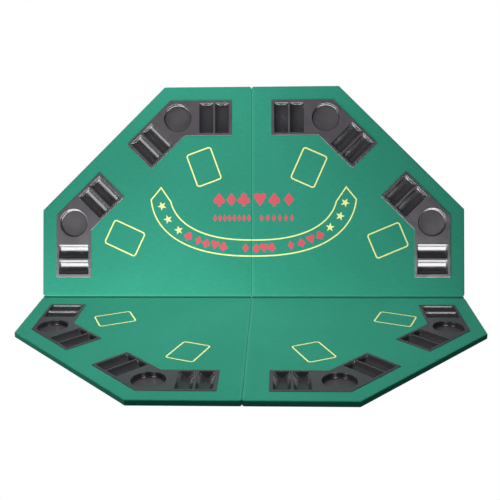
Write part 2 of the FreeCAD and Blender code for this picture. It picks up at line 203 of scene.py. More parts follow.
class PrintSizes(bpy.types.PropertyGroup):
    """The lines and marks that are printed on the felt."""

    line: length("Line width", 0.0038, "Width of the printed lines")
    ink: length("Ink height", 0.00012, "How far the ink stands above the felt")
    sunk: length("Ink depth", 0.0003, "How far the ink reaches into the felt")
    card_width: length("Card box width", 0.073, "Width of a card box")
    card_length: length("Card box length", 0.097, "Length of a card box")
    card_corner: length("Card box corner", 0.007, "Corner rounding of a card box")
    ribbon_shift: length("Ribbon shift", 0.005, "Short seam to the ribbon's middle")
    ribbon_bend: bpy.props.FloatProperty(
        name="Ribbon bend", description="How square the ribbon's bends are; 2 is an ellipse",
        default=2.38)
    inner_bottom: length("Inner line height", 0.1647, "Long seam to the inner line")
    inner_rise: length("Inner line rise", 0.148, "Rise of the inner line's curve")
    inner_reach: length("Inner line reach", 0.2435, "Half width of the inner line's curve")
    inner_end: length("Inner line end", 0.2397, "Where the inner line turns to the tip")
    outer_bottom: length("Outer line height", 0.1184, "Long seam to the outer line")
    outer_rise: length("Outer line rise", 0.1905, "Rise of the outer line's curve")
    outer_reach: length("Outer line reach", 0.2982, "Half width of the outer line's curve")
    outer_end: length("Outer line end", 0.297, "Where the outer line turns to the tip")
    tip_across: length("Tip across", 0.268, "Ribbon's middle to its tip")
    tip_up: length("Tip up", 0.317, "Long seam to the ribbon's tip")
    star: length("Star height", 0.0245, "Height of a printed star")
    big_suit: length("Large suit height", 0.039, "Height of the marks in the top row")
    small_suit: length("Small lozenge height", 0.022, "Height of the marks in the second row")
    arc_suit: length("Arc suit height", 0.0265, "Height of the marks in the ribbon")


class TrimSizes(bpy.types.PropertyGroup):
    """The cloth hinge tapes and the staples."""

    tape: length("Tape thickness", 0.0006, "Thickness of the cloth hinge tape")
    tape_inner: length("Tape inner gap", 0.0002, "Short seam to a tape's end")
    tape_end: length("Tape outer gap", 0.003, "Rim to a tape's end")
    tape_low: length("Tape foot", 0.002, "Board's underside to the tape's edge")
    staple_inset: length("Staple inset", 0.017, "Rim to the row of staples")
    staple_pitch: length("Staple pitch", 0.055, "Distance from staple to staple")
    staple_width: length("Staple width", 0.0098, "Width of a staple's crown")
    staple_leg: length("Staple leg", 0.006, "Length of a staple's legs")
    staple_wire: length("Staple wire", 0.0006, "Thickness of the staple wire")


class TableColours(bpy.types.PropertyGroup):
    """Finishes."""

    felt_shade: colour("Felt shade", "2C856C", "Felt between its raised fibres")
    felt_light: colour("Felt light", "3B9A83", "Felt's raised fibres")
    # painted highlight: the paler felt colour laid along the short seam
    felt_seam_highlight: colour("Worn felt", "4CA587", "Felt rubbed along the short seam")
    yellow: colour("Yellow ink", "FAFFA8", "Printed lines and stars")
    red: colour("Red ink", "DA606C", "Printed suit marks")
    plastic: colour("Tray plastic", "49454A", "Moulded trays")
    # painted shade: the darker grey of the troughs' and cup walls' insides
    trough: colour("Trough plastic", "343337", "Polished insides of the troughs")
    tape: colour("Tape", "35876D", "Cloth hinge tape")
    board: colour("Board", "B39069", "Fibreboard")
    board_fibre: colour("Board fibre", "8A6A48", "Darker fibres of the board")
    foam: colour("Foam", "D9D8D0", "Foam underlay")
    zinc: colour("Zinc", "C9CCD1", "Plated steel")


# ---- places on the flat table -------------------------------------------------------------------

def placing(quarter):
    """The move from the flat table to where a quarter lies at rest."""
    move = Matrix.Translation((0, SEAM.y, 0))
    if QUARTERS[quarter][1] < 0:
        return move
    centre = Matrix.Translation((0, SEAM.y, SEAM.z))
    return centre @ Matrix.Rotation(FOLD, 4, "X") @ centre.inverted() @ move


def rounded_loop(corners, radii, counts, steps=CORNER_STEPS):
    """A closed loop with rounded corners, and so many straight parts on each side."""
    arcs = []
    for here, corner in enumerate(corners):
        back = (corners[here - 1] - corner).normalized()
        ahead = (corners[(here + 1) % len(corners)] - corner).normalized()
        half = back.angle(ahead) / 2
        radius = radii[here]
        centre = corner + (back + ahead).normalized() * radius / math.sin(half)
        first = corner + back * radius / math.tan(half) - centre
        last = corner + ahead * radius / math.tan(half) - centre
        sweep = math.pi - 2 * half
        arc = []
        for step in range(steps + 1):
            share = step / steps
            near, far = math.sin((1 - share) * sweep), math.sin(share * sweep)
            arc.append(centre + (first * near + last * far) / math.sin(sweep))
        arcs.append(arc)
    loop = []
    for here, arc in enumerate(arcs):
        loop += arc
        following = arcs[(here + 1) % len(arcs)][0]
        for step in range(1, counts[here]):
            loop.append(arc[-1].lerp(following, step / counts[here]))
    return loop


def quarter_corners(sizes, quarter, inset):
    """A quarter's five corners, counter-clockwise, drawn in by an inset."""
    across, along = QUARTERS[quarter]
    half = sizes.across_flats / 2
    turn = math.tan(math.radians(22.5))
    side = half * turn - inset * turn
    # the felt turns down more sharply along the seams than round the rim
    turned = max(-sizes.edge_round, min(inset, sizes.edge_round))
    near = sizes.short_gap / 2 + inset - turned * (1 - sizes.seam_round / sizes.edge_round)
    low = sizes.long_gap / 2 + inset - turned * (1 - sizes.long_round / sizes.edge_round)
    flat = [
        (near, low),
        (half - inset, low),
        (half - inset, side),
        (side, half - inset),
        (near, half - inset),
    ]
    corners = [Vector((across * x, along * y)) for x, y in flat]
    if across * along < 0:
        corners.reverse()
    return corners


def quarter_loop(sizes, quarter, inset):
    """The outline of a quarter, drawn in by an inset; every inset gives as many points."""
    base = quarter_corners(sizes, quarter, 0)
    counts = []
    for here, corner in enumerate(base):
        span = (base[(here + 1) % 5] - corner).length
        counts.append(max(2, round(span / sizes.mesh_step)))
    radii = []
    for here in range(5):
        full = sizes.end_corner if here in seam_ends(quarter) else sizes.other_corner
        if base[here].length < sizes.end_corner:
            full = sizes.middle_corner
        radii.append(max(full - inset, 0.0004))
    return rounded_loop(quarter_corners(sizes, quarter, inset), radii, counts)


def seam_ends(quarter):
    """Which corners of a quarter lie where a seam meets the rim."""
    across, along = QUARTERS[quarter]
    return (1, 4) if across * along > 0 else (3, 0)


def tray_holes(sizes, quarter):
    """The openings in a quarter's felt that its two trays drop into."""
    for angle in TRAY_ANGLES.values():
        seat = tray_seat(sizes, quarter, angle)
        loop = [(seat @ spot.to_3d()).to_2d() for spot in tray_outline(sizes, sizes.tray_lap)]
        yield divided(loop, sizes.mesh_step)


def divided(loop, step):
    """A closed loop with points added along its sides."""
    result = []
    for here, spot in enumerate(loop):
        following = loop[(here + 1) % len(loop)]
        count = max(1, round((following - spot).length / step))
        result += [spot.lerp(following, part / count) for part in range(count)]
    return result


def is_inside(spot, loop):
    """Whether a flat place is inside a closed loop."""
    inside = False
    for here, corner in enumerate(loop):
        before = loop[here - 1]
        if (corner.y > spot.y) != (before.y > spot.y):
            share = (spot.y - corner.y) / (before.y - corner.y)
            if spot.x < corner.x + share * (before.x - corner.x):
                inside = not inside
    return inside


def dip(sizes, x, y):
    """How far the stretched felt lies below the full height of the deck."""
    slow = noise.noise(Vector((x * 7, y * 7, 3)))
    quick = noise.noise(Vector((x * 23, y * 23, 11)))
    return -sizes.waviness * (1 + 0.65 * slow + 0.35 * quick)


def felt_height(sizes, x, y):
    """The felt's height, with its rounding down to the short seam."""
    share = 1 - (abs(x) - sizes.short_gap / 2) / sizes.seam_round
    share = max(0, min(1, share))
    drop = sizes.edge_round * (1 - math.sqrt(1 - share ** 2))
    return sizes.deck + dip(sizes, x, y) - drop


def filled(outline, holes, step):
    """Points and triangles between an outline and its holes, points spread evenly inside."""
    spots = list(outline)
    edges = [(here, (here + 1) % len(outline)) for here in range(len(outline))]
    for hole in holes:
        first = len(spots)
        count = len(hole)
        spots += hole
        edges += [(first + here, first + (here + 1) % count) for here in range(count)]
    tree = kdtree.KDTree(len(spots))
    for number, spot in enumerate(spots):
        tree.insert(spot.to_3d(), number)
    tree.balance()
    lows = [min(spot[axis] for spot in outline) for axis in (0, 1)]
    highs = [max(spot[axis] for spot in outline) for axis in (0, 1)]
    rise = step * math.sqrt(3) / 2
    for row in range(1, int((highs[1] - lows[1]) / rise) + 1):
        for place in range(1, int((highs[0] - lows[0]) / step) + 1):
            shift = (row % 2) / 2
            spot = Vector((lows[0] + (place - shift) * step, lows[1] + row * rise))
            if tree.find(spot.to_3d())[2] < step * 0.6 or not is_inside(spot, outline):
                continue
            if not any(is_inside(spot, hole) for hole in holes):
                spots.append(spot)
    result = geometry.delaunay_2d_cdt(spots, edges, [], 1, 1e-7)
    origin = [found[0] for found in result[3]]
    triangles = []
    for face in result[2]:
        corners = [origin[number] for number in face]
        middle = sum((spots[number] for number in corners), Vector((0, 0))) / 3
        if not any(is_inside(middle, hole) for hole in holes):
            triangles.append(corners)
    return spots, triangles


# ---- meshes -------------------------------------------------------------------------------------

def make_object(name, points, faces, material, cloth=None):
    """A smooth-shaded mesh object; cloth gives a flat place to each point for its weave."""
    mesh = bpy.data.meshes.new(name)
    mesh.from_pydata([tuple(point) for point in points], [], faces)
    if cloth is not None:
        layer = mesh.uv_layers.new(name=CLOTH_MAP)
        for loop in mesh.loops:
            layer.data[loop.index].uv = cloth[loop.vertex_index]
    mesh.validate()
    item = bpy.data.objects.new(name, mesh)
    bpy.context.scene.collection.objects.link(item)
    if material is not None:
        mesh.materials.append(material)
    return item


def shade(item, angle):
    """Smooth shading, kept sharp where faces meet at more than an angle in degrees."""
    mesh = item.data
    mesh.shade_smooth()
    mesh.set_sharp_from_angle(angle=math.radians(angle))


def settle(item):
    """Turn an object with live modifiers into a plain mesh."""
    evaluated = item.evaluated_get(bpy.context.evaluated_depsgraph_get())
    mesh = bpy.data.meshes.new_from_object(evaluated)
    old = item.data
    item.modifiers.clear()
    item.data = mesh
    bpy.data.meshes.remove(old)
    mesh.name = item.name
    return item


def thicken(item, thickness, offset=-1, even=True, back_slot=0):
    """Give an open sheet its wall; back_slot moves the far side to another material."""
    wall = item.modifiers.new("Thickness", "SOLIDIFY")
    wall.thickness = thickness
    wall.offset = offset
    wall.use_even_offset = even
    wall.material_offset = back_slot
    settle(item)


def band(low, high, count):
    """Faces between two closed rings that run counter-clockwise, looking outwards."""
    faces = []
    for here in range(count):
        ahead = (here + 1) % count
        faces.append((low + here, low + ahead, high + ahead, high + here))
    return faces


def wrap_profile(sizes):
    """The felt's way from the deck over the rim, down and under: inset, height, distance."""
    edge, under = sizes.edge_round, sizes.under_round
    path = []
    for step in range(EDGE_STEPS + 1):
        turn = math.pi / 2 * step / EDGE_STEPS
        path.append((edge * (1 - math.sin(turn)), sizes.deck - edge * (1 - math.cos(turn))))
    side = sizes.deck - edge - under
    path += [(0, under + side * share) for share in (0.66, 0.33)]
    for step in range(4):
        turn = math.pi / 2 * step / 3
        path.append((under * (1 - math.cos(turn)), under * (1 - math.sin(turn))))
    end = sizes.felt + sizes.hem
    path += [(under + (end - under) * share, 0) for share in (0.3, 0.65, 1)]
    run = 0
    result = []
    for here, (inset, height) in enumerate(path):
        if here:
            run += math.hypot(inset - path[here - 1][0], height - path[here - 1][1])
        result.append((inset, height, run))
    return result


def make_felt(sizes, quarter, material):
    """Felt stretched over the deck and round the rim, and turned in below."""
    rim = sizes.edge_round
    holes = list(tray_holes(sizes, quarter))
    spots, triangles = filled(quarter_loop(sizes, quarter, rim), holes, sizes.mesh_step)
    points = [Vector((x, y, sizes.deck + dip(sizes, x, y))) for x, y in spots]
    cloth = [tuple(spot) for spot in spots]
    faces = []
    for corners in triangles:
        faces.append(facing_up(spots, corners))
    profile = wrap_profile(sizes)
    above = 0
    count = len(quarter_loop(sizes, quarter, rim))
    for inset, height, run in profile[1:]:
        first = len(points)
        is_cut_edge = height == 0 and inset > sizes.hem
        for x, y in quarter_loop(sizes, quarter, inset):
            lift = dip(sizes, x, y) * max(0, 1 - run / (4 * rim))
            stray = noise.noise(Vector((x * 31, y * 31, 5))) * CUT_STRAY if is_cut_edge else 0
            pull = Vector((x, y)).normalized() * stray
            points.append(Vector((x + pull.x, y + pull.y, height + lift)))
        cloth += [tuple(spot) for spot in quarter_loop(sizes, quarter, rim - run)]
        faces += band(first, above, count)
        above = first
    item = make_object(f"felt_cover_{quarter}", points, faces, material, cloth)
    item.data.transform(placing(quarter))
    thicken(item, sizes.felt)
    shade(item, 50)
    return item


def cut_area(sizes, quarter):
    """The flat area of a quarter's cut felt, less its tray openings."""
    around = quarter_loop(sizes, quarter, -(sizes.deck + sizes.hem))
    total = 0
    for loop, sign in [(around, 1)] + [(hole, -1) for hole in tray_holes(sizes, quarter)]:
        twice = sum(loop[here - 1].cross(spot) for here, spot in enumerate(loop))
        total += sign * abs(twice) / 2
    return total


def make_foam(sizes, quarter, material):
    """Underlay between board and felt: a closed sheet, rounded at its upper rim."""
    holes = list(tray_holes(sizes, quarter))
    edge = sizes.edge_round - sizes.felt
    top, low = sizes.deck - sizes.felt, sizes.deck - sizes.felt - sizes.foam
    step = sizes.mesh_step * 2
    outline = quarter_loop(sizes, quarter, sizes.edge_round)
    spots, triangles = filled(outline, holes, step)
    loops = [(0, len(outline))]
    for hole in holes:
        start = loops[-1][0] + loops[-1][1]
        loops.append((start, len(hole)))
    total = len(spots)
    foot = quarter_loop(sizes, quarter, sizes.felt)
    # the felt above dips a little, and the foam under it more
    points = [Vector((x, y, top - 2 * sizes.waviness)) for x, y in spots]
    lower = [Vector((x, y, low)) for x, y in spots]
    lower[:len(outline)] = [Vector((x, y, low)) for x, y in foot]
    points += lower
    faces = []
    for corners in triangles:
        upper = facing_up(spots, corners)
        faces.append(upper)
        faces.append(tuple(number + total for number in reversed(upper)))
    above = 0
    for share in (0.34, 0.67, 1):
        turn = math.pi / 2 * share
        inset = sizes.felt + edge * (1 - math.sin(turn))
        height = top - edge * (1 - math.cos(turn))
        first = len(points)
        ring = quarter_loop(sizes, quarter, inset)
        points += [Vector((x, y, height)) for x, y in ring]
        faces += band(first, above, len(outline))
        above = first
    faces += band(total, above, len(outline))
    for start, count in loops[1:]:
        wall = band(total + start, start, count)
        hole = spots[start:start + count]
        area = sum(hole[here - 1].cross(spot) for here, spot in enumerate(hole))
        faces += [tuple(reversed(face)) for face in wall] if area > 0 else wall
    item = make_object(f"foam_underlay_{quarter}", points, faces, material)
    item.data.transform(placing(quarter))
    shade(item, 50)
    return item


# ---- moulded trays ------------------------------------------------------------------------------

def tray_seat(sizes, quarter, angle):
    """A tray's own frame on the flat table: its outer corner, with +Y to the middle."""
    across, along = QUARTERS[quarter]
    reach = (sizes.across_flats / 2 - sizes.tray_margin) / math.cos(math.radians(22.5))
    turn = math.radians(angle)
    corner = Vector((across * math.cos(turn), along * math.sin(turn), 0)) * reach
    facing = math.atan2(corner.y, corner.x) + math.pi / 2
    return Matrix.Translation(corner) @ Matrix.Rotation(facing, 4, "Z")


def arm_spot(side, run, inward):
    """A point of a tray, from its distances along an arm's outer edge and in from it."""
    return Vector((side * (run * math.sin(ARM_LEAN) - inward * math.cos(ARM_LEAN)),
                   run * math.cos(ARM_LEAN) + inward * math.sin(ARM_LEAN)))


def tray_outline(sizes, inset):
    """A tray's six corners, drawn in by an inset, counter-clockwise."""
    far, end = sizes.arm_width - inset, sizes.arm_length - inset
    bend = 1 / math.tan(ARM_LEAN)
    return [arm_spot(1, inset * bend, inset), arm_spot(1, end, inset),
            arm_spot(1, end, far), arm_spot(1, far * bend, far),
            arm_spot(-1, end, far), arm_spot(-1, end, inset)]


def trough_rings(trays):
    """A trough's rings from its mouth down: half width, half length, depth."""
    start = math.radians(70)
    rim, radius, depth = trays.rim, trays.slot_radius, trays.slot_depth
    first = rim * (1 - math.cos(start))
    lean = math.tan(trays.slot_draft)

    def at(below):
        width = math.sqrt(radius ** 2 - (radius - depth + below) ** 2)
        return width, trays.slot_length / 2 - (below - first) * lean
    width, span = at(first)
    rings = []
    for share in (-1, 0, 0.25, 0.5, 0.75, 1):
        turn = start * max(0, share)
        out = rim * (math.sin(start) - math.sin(turn)) + (0.0005 if share < 0 else 0)
        rings.append((width + out, span + out, rim * (1 - math.cos(turn))))
    high = math.acos((radius - depth + first) / radius)
    steps = 12
    for step in range(1, steps + 1):
        turn = high + (math.radians(2) - high) * step / steps
        rings.append((radius * math.sin(turn),
                      at(depth - radius * (1 - math.cos(turn)))[1],
                      depth - radius * (1 - math.cos(turn))))
    return rings


def trough_loop(sizes, trays, side, step, half_width, half_length):
    """One ring of a trough in a tray's frame."""
    middle = sizes.arm_length - trays.slot_end - step * trays.slot_spacing
    centre = sizes.arm_width / 2
    corners = [arm_spot(side, middle + a * half_width, centre + b * half_length)
               for a, b in ((-1, -1), (1, -1), (1, 1), (-1, 1))]
    if side < 0:
        corners.reverse()
    corner = min(TROUGH_CORNER, half_width * 0.9)
    return rounded_loop(corners, [corner] * 4, [4, 8, 4, 8], 4)


def cup_rings(trays, top):
    """A cup well's rings from its mouth down to its floor: radius and depth."""
    rim, floor = trays.cup_rim, top - trays.cup_floor
    rings = [(trays.cup_radius + rim + 0.0006, 0)]
    for step in range(CUP_RIM_RINGS):
        turn = math.pi / 2 * step / (CUP_RIM_RINGS - 1)
        rings.append((trays.cup_radius + rim * (1 - math.sin(turn)),
                      rim * (1 - math.cos(turn))))
    inner = trays.cup_radius - trays.cup_draft
    bend = trays.cup_round
    for step in range(CUP_BEND_RINGS):
        turn = math.pi / 2 * step / (CUP_BEND_RINGS - 1)
        rings.append((inner - bend * (1 - math.cos(turn)), floor - bend * (1 - math.sin(turn))))
    return rings + [(inner - bend - 0.001, floor), (0.024, floor), (0.01, floor)]


def make_tray(sizes, trays, quarter, name, angle, finishes):
    """A thin moulded shell: flange, one cup well and four troughs, in three finishes, one darkened
    as painted shade.
    """
    top = sizes.deck + trays.flange
    radii = [trays.corner] * 6
    counts = [2] * 6
    lip = [(trays.lip + 0.0006, 0), (trays.lip, 0)]
    for step in range(1, 5):
        turn = math.pi / 2 * step / 4
        lip.append((trays.lip * (1 - math.sin(turn)), trays.lip * (1 - math.cos(turn))))
    lip.append((0, trays.flange))
    edge = [rounded_loop(tray_outline(sizes, inset), radii, counts) for inset, _ in lip]
    wells = []
    for side in (-1, 1):
        for step in range(2):
            rings = [(trough_loop(sizes, trays, side, step, width, span), below)
                     for width, span, below in trough_rings(trays)]
            wells.append(rings)
    centre = Vector((0, sizes.arm_width / 2 / math.sin(ARM_LEAN)))
    turns = [2 * math.pi * step / CUP_SIDES for step in range(CUP_SIDES)]
    wells.append([([centre + Vector((math.cos(turn), math.sin(turn))) * radius
                    for turn in turns], below) for radius, below in cup_rings(trays, top)])
    # the step is longer than a tray, so no points are added inside
    spots, triangles = filled(edge[0], [rings[0][0] for rings in wells], 0.2)
    points = [Vector((x, y, top)) for x, y in spots]
    faces = [facing_up(spots, corners) for corners in triangles]
    count, above = len(edge[0]), 0
    for loop, (_, below) in zip(edge[1:], lip[1:]):
        first = len(points)
        points += [Vector((x, y, top - below)) for x, y in loop]
        faces += band(first, above, count)
        above = first
    above = len(edge[0])
    # troughs and cup walls go to the polished material, whose darker colour is painted shade
    polished = []
    for rings in wells:
        is_trough = rings is not wells[-1]
        start = len(faces)
        count = len(rings[0][0])
        high = above
        for loop, below in rings[1:]:
            first = len(points)
            points += [Vector((x, y, top - below)) for x, y in loop]
            faces += [face[::-1] for face in band(first, high, count)]
            high = first
        faces.append(tuple(range(high, high + count)))
        above += count
        if is_trough:
            polished += range(start + count, len(faces))
        else:
            # painted shade: the cup's walls take the darker polished colour too
            wall_start = start + CUP_RIM_RINGS * count
            polished += range(wall_start, wall_start + CUP_BEND_RINGS * count)
    item = make_object(f"moulded_tray_{quarter}_{name}", points, faces, None)
    grained, shaded_glossy, matt = finishes
    for finish in (grained, shaded_glossy, matt, matt):
        item.data.materials.append(finish)
    for number in polished:
        item.data.polygons[number].material_index = 1
    item.data.transform(placing(quarter) @ tray_seat(sizes, quarter, angle))
    thicken(item, trays.wall, back_slot=2)
    shade(item, 32)
    return item


def facing_up(spots, corners):
    """A flat triangle's corners, in the order that makes it face upwards."""
    one, two, three = (spots[number] for number in corners)
    is_up = (two - one).cross(three - one) > 0
    return tuple(corners) if is_up else tuple(reversed(corners))


# ---- cloth hinge tapes --------------------------------------------------------------------------

def tape_line(sizes, trims):
    """The tape's middle line seen from its end: up the front edge, round, down the rear's."""
    face = sizes.long_gap / 2 - trims.tape / 2
    rise = SEAM.z
    up = [(-face, trims.tape_low - rise), (-face, -0.0105), (-face, -0.0065), (-face, -0.0035),
          (-face * 0.96, -0.0022), (-face * 0.82, -0.0012), (-face * 0.6, -0.0004),
          (-face * 0.42, 0.0001)]
    line = [Vector((0, y, z)) for y, z in up]
    turn = Matrix.Rotation(FOLD, 3, "X")
    over = [turn @ Vector((0, -spot.y, spot.z)) for spot in reversed(line)]
    between = (line[-1] + over[0]) / 2
    out = turn @ Vector((0, 0, 1)) + Vector((0, 0, 1))
    return line + [between + out.normalized() * 0.0003] + over


def make_tape(sizes, trims, side, material):
    """A strip of cloth tape across the long seam, glued to both halves' edges."""
    line = tape_line(sizes, trims)
    start = trims.tape_inner
    end = sizes.across_flats / 2 - trims.tape_end
    count = 60
    points = []
    cloth = []
    run = 0
    for here, spot in enumerate(line):
        if here:
            run += (spot - line[here - 1]).length
        for step in range(count + 1):
            x = start + (end - start) * step / count
            points.append(Vector((side * x, 0, 0)) + spot + Vector((0, SEAM.y, SEAM.z)))
            cloth.append((x, run))
    faces = []
    for row in range(len(line) - 1):
        for step in range(count):
            first = row * (count + 1) + step
            face = (first, first + 1, first + count + 2, first + count + 1)
            faces.append(face if side < 0 else tuple(reversed(face)))
    name = "left" if side < 0 else "right"
    item = make_object(f"hinge_tape_{name}", points, faces, material, cloth)
    thicken(item, trims.tape, offset=0, even=False)
    shade(item, 60)
    return item, run


# ---- prints -------------------------------------------------------------------------------------

def offsets(path, closed):
    """For each point of a path, the sideways step to a line's edge, mitred at bends."""
    result = []
    last = len(path) - 1
    for here, spot in enumerate(path):
        before = path[here - 1] if here or closed else spot
        after = path[(here + 1) % len(path)] if here < last or closed else spot
        ways = [way.normalized() for way in (spot - before, after - spot) if way.length > 1e-9]
        sides = [Vector((-way.y, way.x)) for way in ways]
        middle = sum(sides, Vector((0, 0))).normalized()
        result.append(middle / max(0.5, middle.dot(sides[0])))
    return result


def line_mesh(sizes, prints, path, closed):
    """Points, faces and cloth places of a printed line: a thin closed strip in the felt."""
    points = []
    cloth = []
    for spot, step in zip(path, offsets(path, closed)):
        for side, lift in ((1, prints.ink), (-1, prints.ink), (-1, -prints.sunk),
                           (1, -prints.sunk)):
            edge = spot + step * side * prints.line / 2
            points.append(Vector((edge.x, edge.y, felt_height(sizes, edge.x, edge.y) + lift)))
            cloth.append(tuple(edge))
    faces = []
    runs = len(path) if closed else len(path) - 1
    for here in range(runs):
        first, second = 4 * here, 4 * ((here + 1) % len(path))
        for corner in range(4):
            ahead = (corner + 1) % 4
            faces.append((first + corner, first + ahead, second + ahead, second + corner))
    if not closed:
        faces.append((3, 2, 1, 0))
        end = 4 * (len(path) - 1)
        faces.append((end, end + 1, end + 2, end + 3))
    return points, faces, cloth


def card_box(prints, centre):
    """The outline of a card box, its long side pointing to the table's middle."""
    way = centre.normalized()
    side = Vector((-way.y, way.x))
    long, wide = prints.card_length / 2, prints.card_width / 2
    corners = [centre + way * a * long + side * b * wide
               for a, b in ((1, -1), (1, 1), (-1, 1), (-1, -1))]
    counts = [4, 5, 4, 5]
    return rounded_loop(corners, [prints.card_corner] * 4, counts, 7)


def ribbon_height(line, out):
    """How far above the long seam a ribbon line is, at a distance from its middle."""
    bottom, rise, reach, _, bend = line
    return bottom + rise * (1 - (1 - (out / reach) ** bend) ** (1 / bend))


def ribbon_lines(prints):
    """Lowest height, rise, reach, end and bend of the inner and the outer line."""
    bend = prints.ribbon_bend
    return ((prints.inner_bottom, prints.inner_rise, prints.inner_reach, prints.inner_end, bend),
            (prints.outer_bottom, prints.outer_rise, prints.outer_reach, prints.outer_end, bend))


def ribbon_half(sizes, prints, across):
    """Half of the ribbon outline, from the short seam out to its tip and back."""
    shift = across * prints.ribbon_shift
    edge = sizes.short_gap / 2
    seam = [edge + step for step in (0.0002, 0.0004, 0.0006, 0.0009, 0.0013, 0.003)]

    def spots(line):
        _, _, reach, end, bend = line
        last = math.asin((end / reach) ** (bend / 2))
        steps = [reach * math.sin(last * share / 40) ** (2 / bend) + shift
                 for share in range(1, 41)]
        steps = seam + [step for step in steps if step > 0.012]
        return [Vector((step, ribbon_height(line, abs(step - shift)))) for step in steps]
    inner, outer = (spots(line) for line in ribbon_lines(prints))
    tip = Vector((prints.tip_across + shift, prints.tip_up))
    path = outer + [outer[-1].lerp(tip, 0.5), tip, inner[-1].lerp(tip, 0.5)] + inner[::-1]
    return [Vector((across * spot.x, spot.y)) for spot in path]


# the boxes are printed a little off an even spacing: quarter -> middles of its two boxes
CARD_SPOTS = {
    "front_left": ((-0.364, -0.161), (-0.142, -0.367)),
    "front_right": ((0.390, -0.1585), (0.1635, -0.365)),
    "rear_left": ((-0.369, 0.171), (-0.138, 0.377)),
    "rear_right": ((0.392, 0.163), (0.166, 0.374)),
}


def make_lines(sizes, prints, quarter, material):
    """The yellow lines on one quarter."""
    across, along = QUARTERS[quarter]
    paths = [(card_box(prints, Vector(spot)), True) for spot in CARD_SPOTS[quarter]]
    if along > 0:
        paths.append((ribbon_half(sizes, prints, across), False))
    points, faces, cloth = [], [], []
    for path, closed in paths:
        more, added, places = line_mesh(sizes, prints, path, closed)
        start = len(points)
        points += more
        cloth += places
        faces += [tuple(start + number for number in face) for face in added]
    item = make_object(f"yellow_print_{quarter}", points, faces, material, cloth)
    face_outwards(item)
    item.data.transform(placing(quarter))
    shade(item, 40)
    return item


def face_outwards(item):
    """Turn the faces of closed shells outwards."""
    shell = bmesh.new()
    shell.from_mesh(item.data)
    bmesh.ops.recalc_face_normals(shell, faces=shell.faces)
    shell.to_mesh(item.data)
    shell.free()


DISC_SIDES = 28
STAR_TIP, STAR_NOTCH = 0.55, 0.225
LOZENGE_STAMP, STAR_STAMP = 4, 5  # the suits before them are stamps 0 to 3

# Suit marks are unions of convex parts; each part is the hull of discs (x, y, radius).
STEM = [(0, -0.05, 0.035), (-0.15, -0.5, 0), (0.15, -0.5, 0)]
SUITS = {
    "spade": [[(-0.205, -0.09, 0.215), (0, 0.5, 0)], [(0.205, -0.09, 0.215), (0, 0.5, 0)], STEM],
    "heart": [[(-0.225, 0.24, 0.24), (0, -0.5, 0)], [(0.225, 0.24, 0.24), (0, -0.5, 0)]],
    "club": [[(0, 0.265, 0.225)], [(-0.235, -0.07, 0.225)], [(0.235, -0.07, 0.225)],
             [(0, 0.05, 0.14)], STEM],
    "diamond": [[(0, 0.5, 0), (0.37, 0, 0), (0, -0.5, 0), (-0.37, 0, 0)]],
}
LOZENGE = [[(0, 0.5, 0), (0.26, 0, 0), (0, -0.5, 0), (-0.26, 0, 0)]]


def hull(discs):
    """The convex outline round some discs."""
    cloud = []
    for x, y, radius in discs:
        sides = DISC_SIDES if radius else 1
        for step in range(sides):
            turn = 2 * math.pi * step / sides
            cloud.append(Vector((x + radius * math.cos(turn), y + radius * math.sin(turn))))
    return [cloud[number] for number in geometry.convex_hull_2d(cloud)]


def ray_exit(loop, way):
    """How far along a ray from the middle a convex outline ends, or 0."""
    far = 0
    for here, corner in enumerate(loop):
        before = loop[here - 1]
        side = corner - before
        spread = way.cross(side)
        if abs(spread) < 1e-12:
            continue
        share = -before.cross(way) / side.cross(way)
        reach = before.cross(side) / spread
        if -1e-9 <= share <= 1 + 1e-9 and reach > far:
            far = reach
    return far


def suit_outline(parts, rays=60):
    """The outline of a suit mark as seen from its middle."""
    loops = [hull(discs) for discs in parts]
    turns = {round(2 * math.pi * step / rays, 6) for step in range(rays)}
    if len(parts) == 1:
        turns = set()
    for discs in parts:
        for x, y, radius in discs:
            if radius == 0:
                turns.add(round(math.atan2(y, x) % (2 * math.pi), 6))
    outline = []
    for turn in sorted(turns):
        way = Vector((math.cos(turn), math.sin(turn)))
        outline.append(way * max(ray_exit(loop, way) for loop in loops))
    return outline


def star_outline():
    """The outline of a five-pointed star."""
    outline = []
    for step in range(10):
        turn = math.pi / 2 + math.pi * step / 5
        reach = STAR_TIP if step % 2 == 0 else STAR_NOTCH
        outline.append(Vector((math.cos(turn), math.sin(turn))) * reach)
    return outline


def make_stamp(name, outline):
    """A closed flat mark of unit size and unit thickness, its top at Z = 0."""
    count = len(outline)
    points = [Vector((0, 0, 0)), Vector((0, 0, -1))]
    points += [Vector((spot.x, spot.y, 0)) for spot in outline]
    points += [Vector((spot.x, spot.y, -1)) for spot in outline]
    faces = []
    for here in range(count):
        ahead = (here + 1) % count
        faces.append((0, 2 + here, 2 + ahead))
        faces.append((1, 2 + count + ahead, 2 + count + here))
        faces.append((2 + count + here, 2 + count + ahead, 2 + ahead, 2 + here))
    stamp = make_object(name, points, faces, None)
    stamp.data.shade_flat()
    return stamp


def set_inputs(tree, item, inputs):
    """Set a node's inputs; one given as a socket is linked, and any other is set."""
    for key, given in inputs.items():
        socket = item.inputs[key]
        if isinstance(given, bpy.types.NodeSocket):
            tree.links.new(given, socket)
        else:
            socket.default_value = given


def add_node(tree, kind, inputs=None, **settings):
    """Add a node with its settings and inputs."""
    item = tree.nodes.new(kind)
    for name, setting in settings.items():
        setattr(item, name, setting)
    set_inputs(tree, item, inputs or {})
    return item


def new_group(name, sockets):
    """A geometry tree with an input and an output for geometry, and named inputs."""
    tree = bpy.data.node_groups.new(name, "GeometryNodeTree")
    tree.interface.new_socket("Geometry", in_out="INPUT", socket_type="NodeSocketGeometry")
    for socket, kind in sockets.items():
        tree.interface.new_socket(socket, in_out="INPUT", socket_type=kind)
    tree.interface.new_socket("Geometry", in_out="OUTPUT", socket_type="NodeSocketGeometry")
    return tree, tree.nodes.new("NodeGroupInput"), tree.nodes.new("NodeGroupOutput")


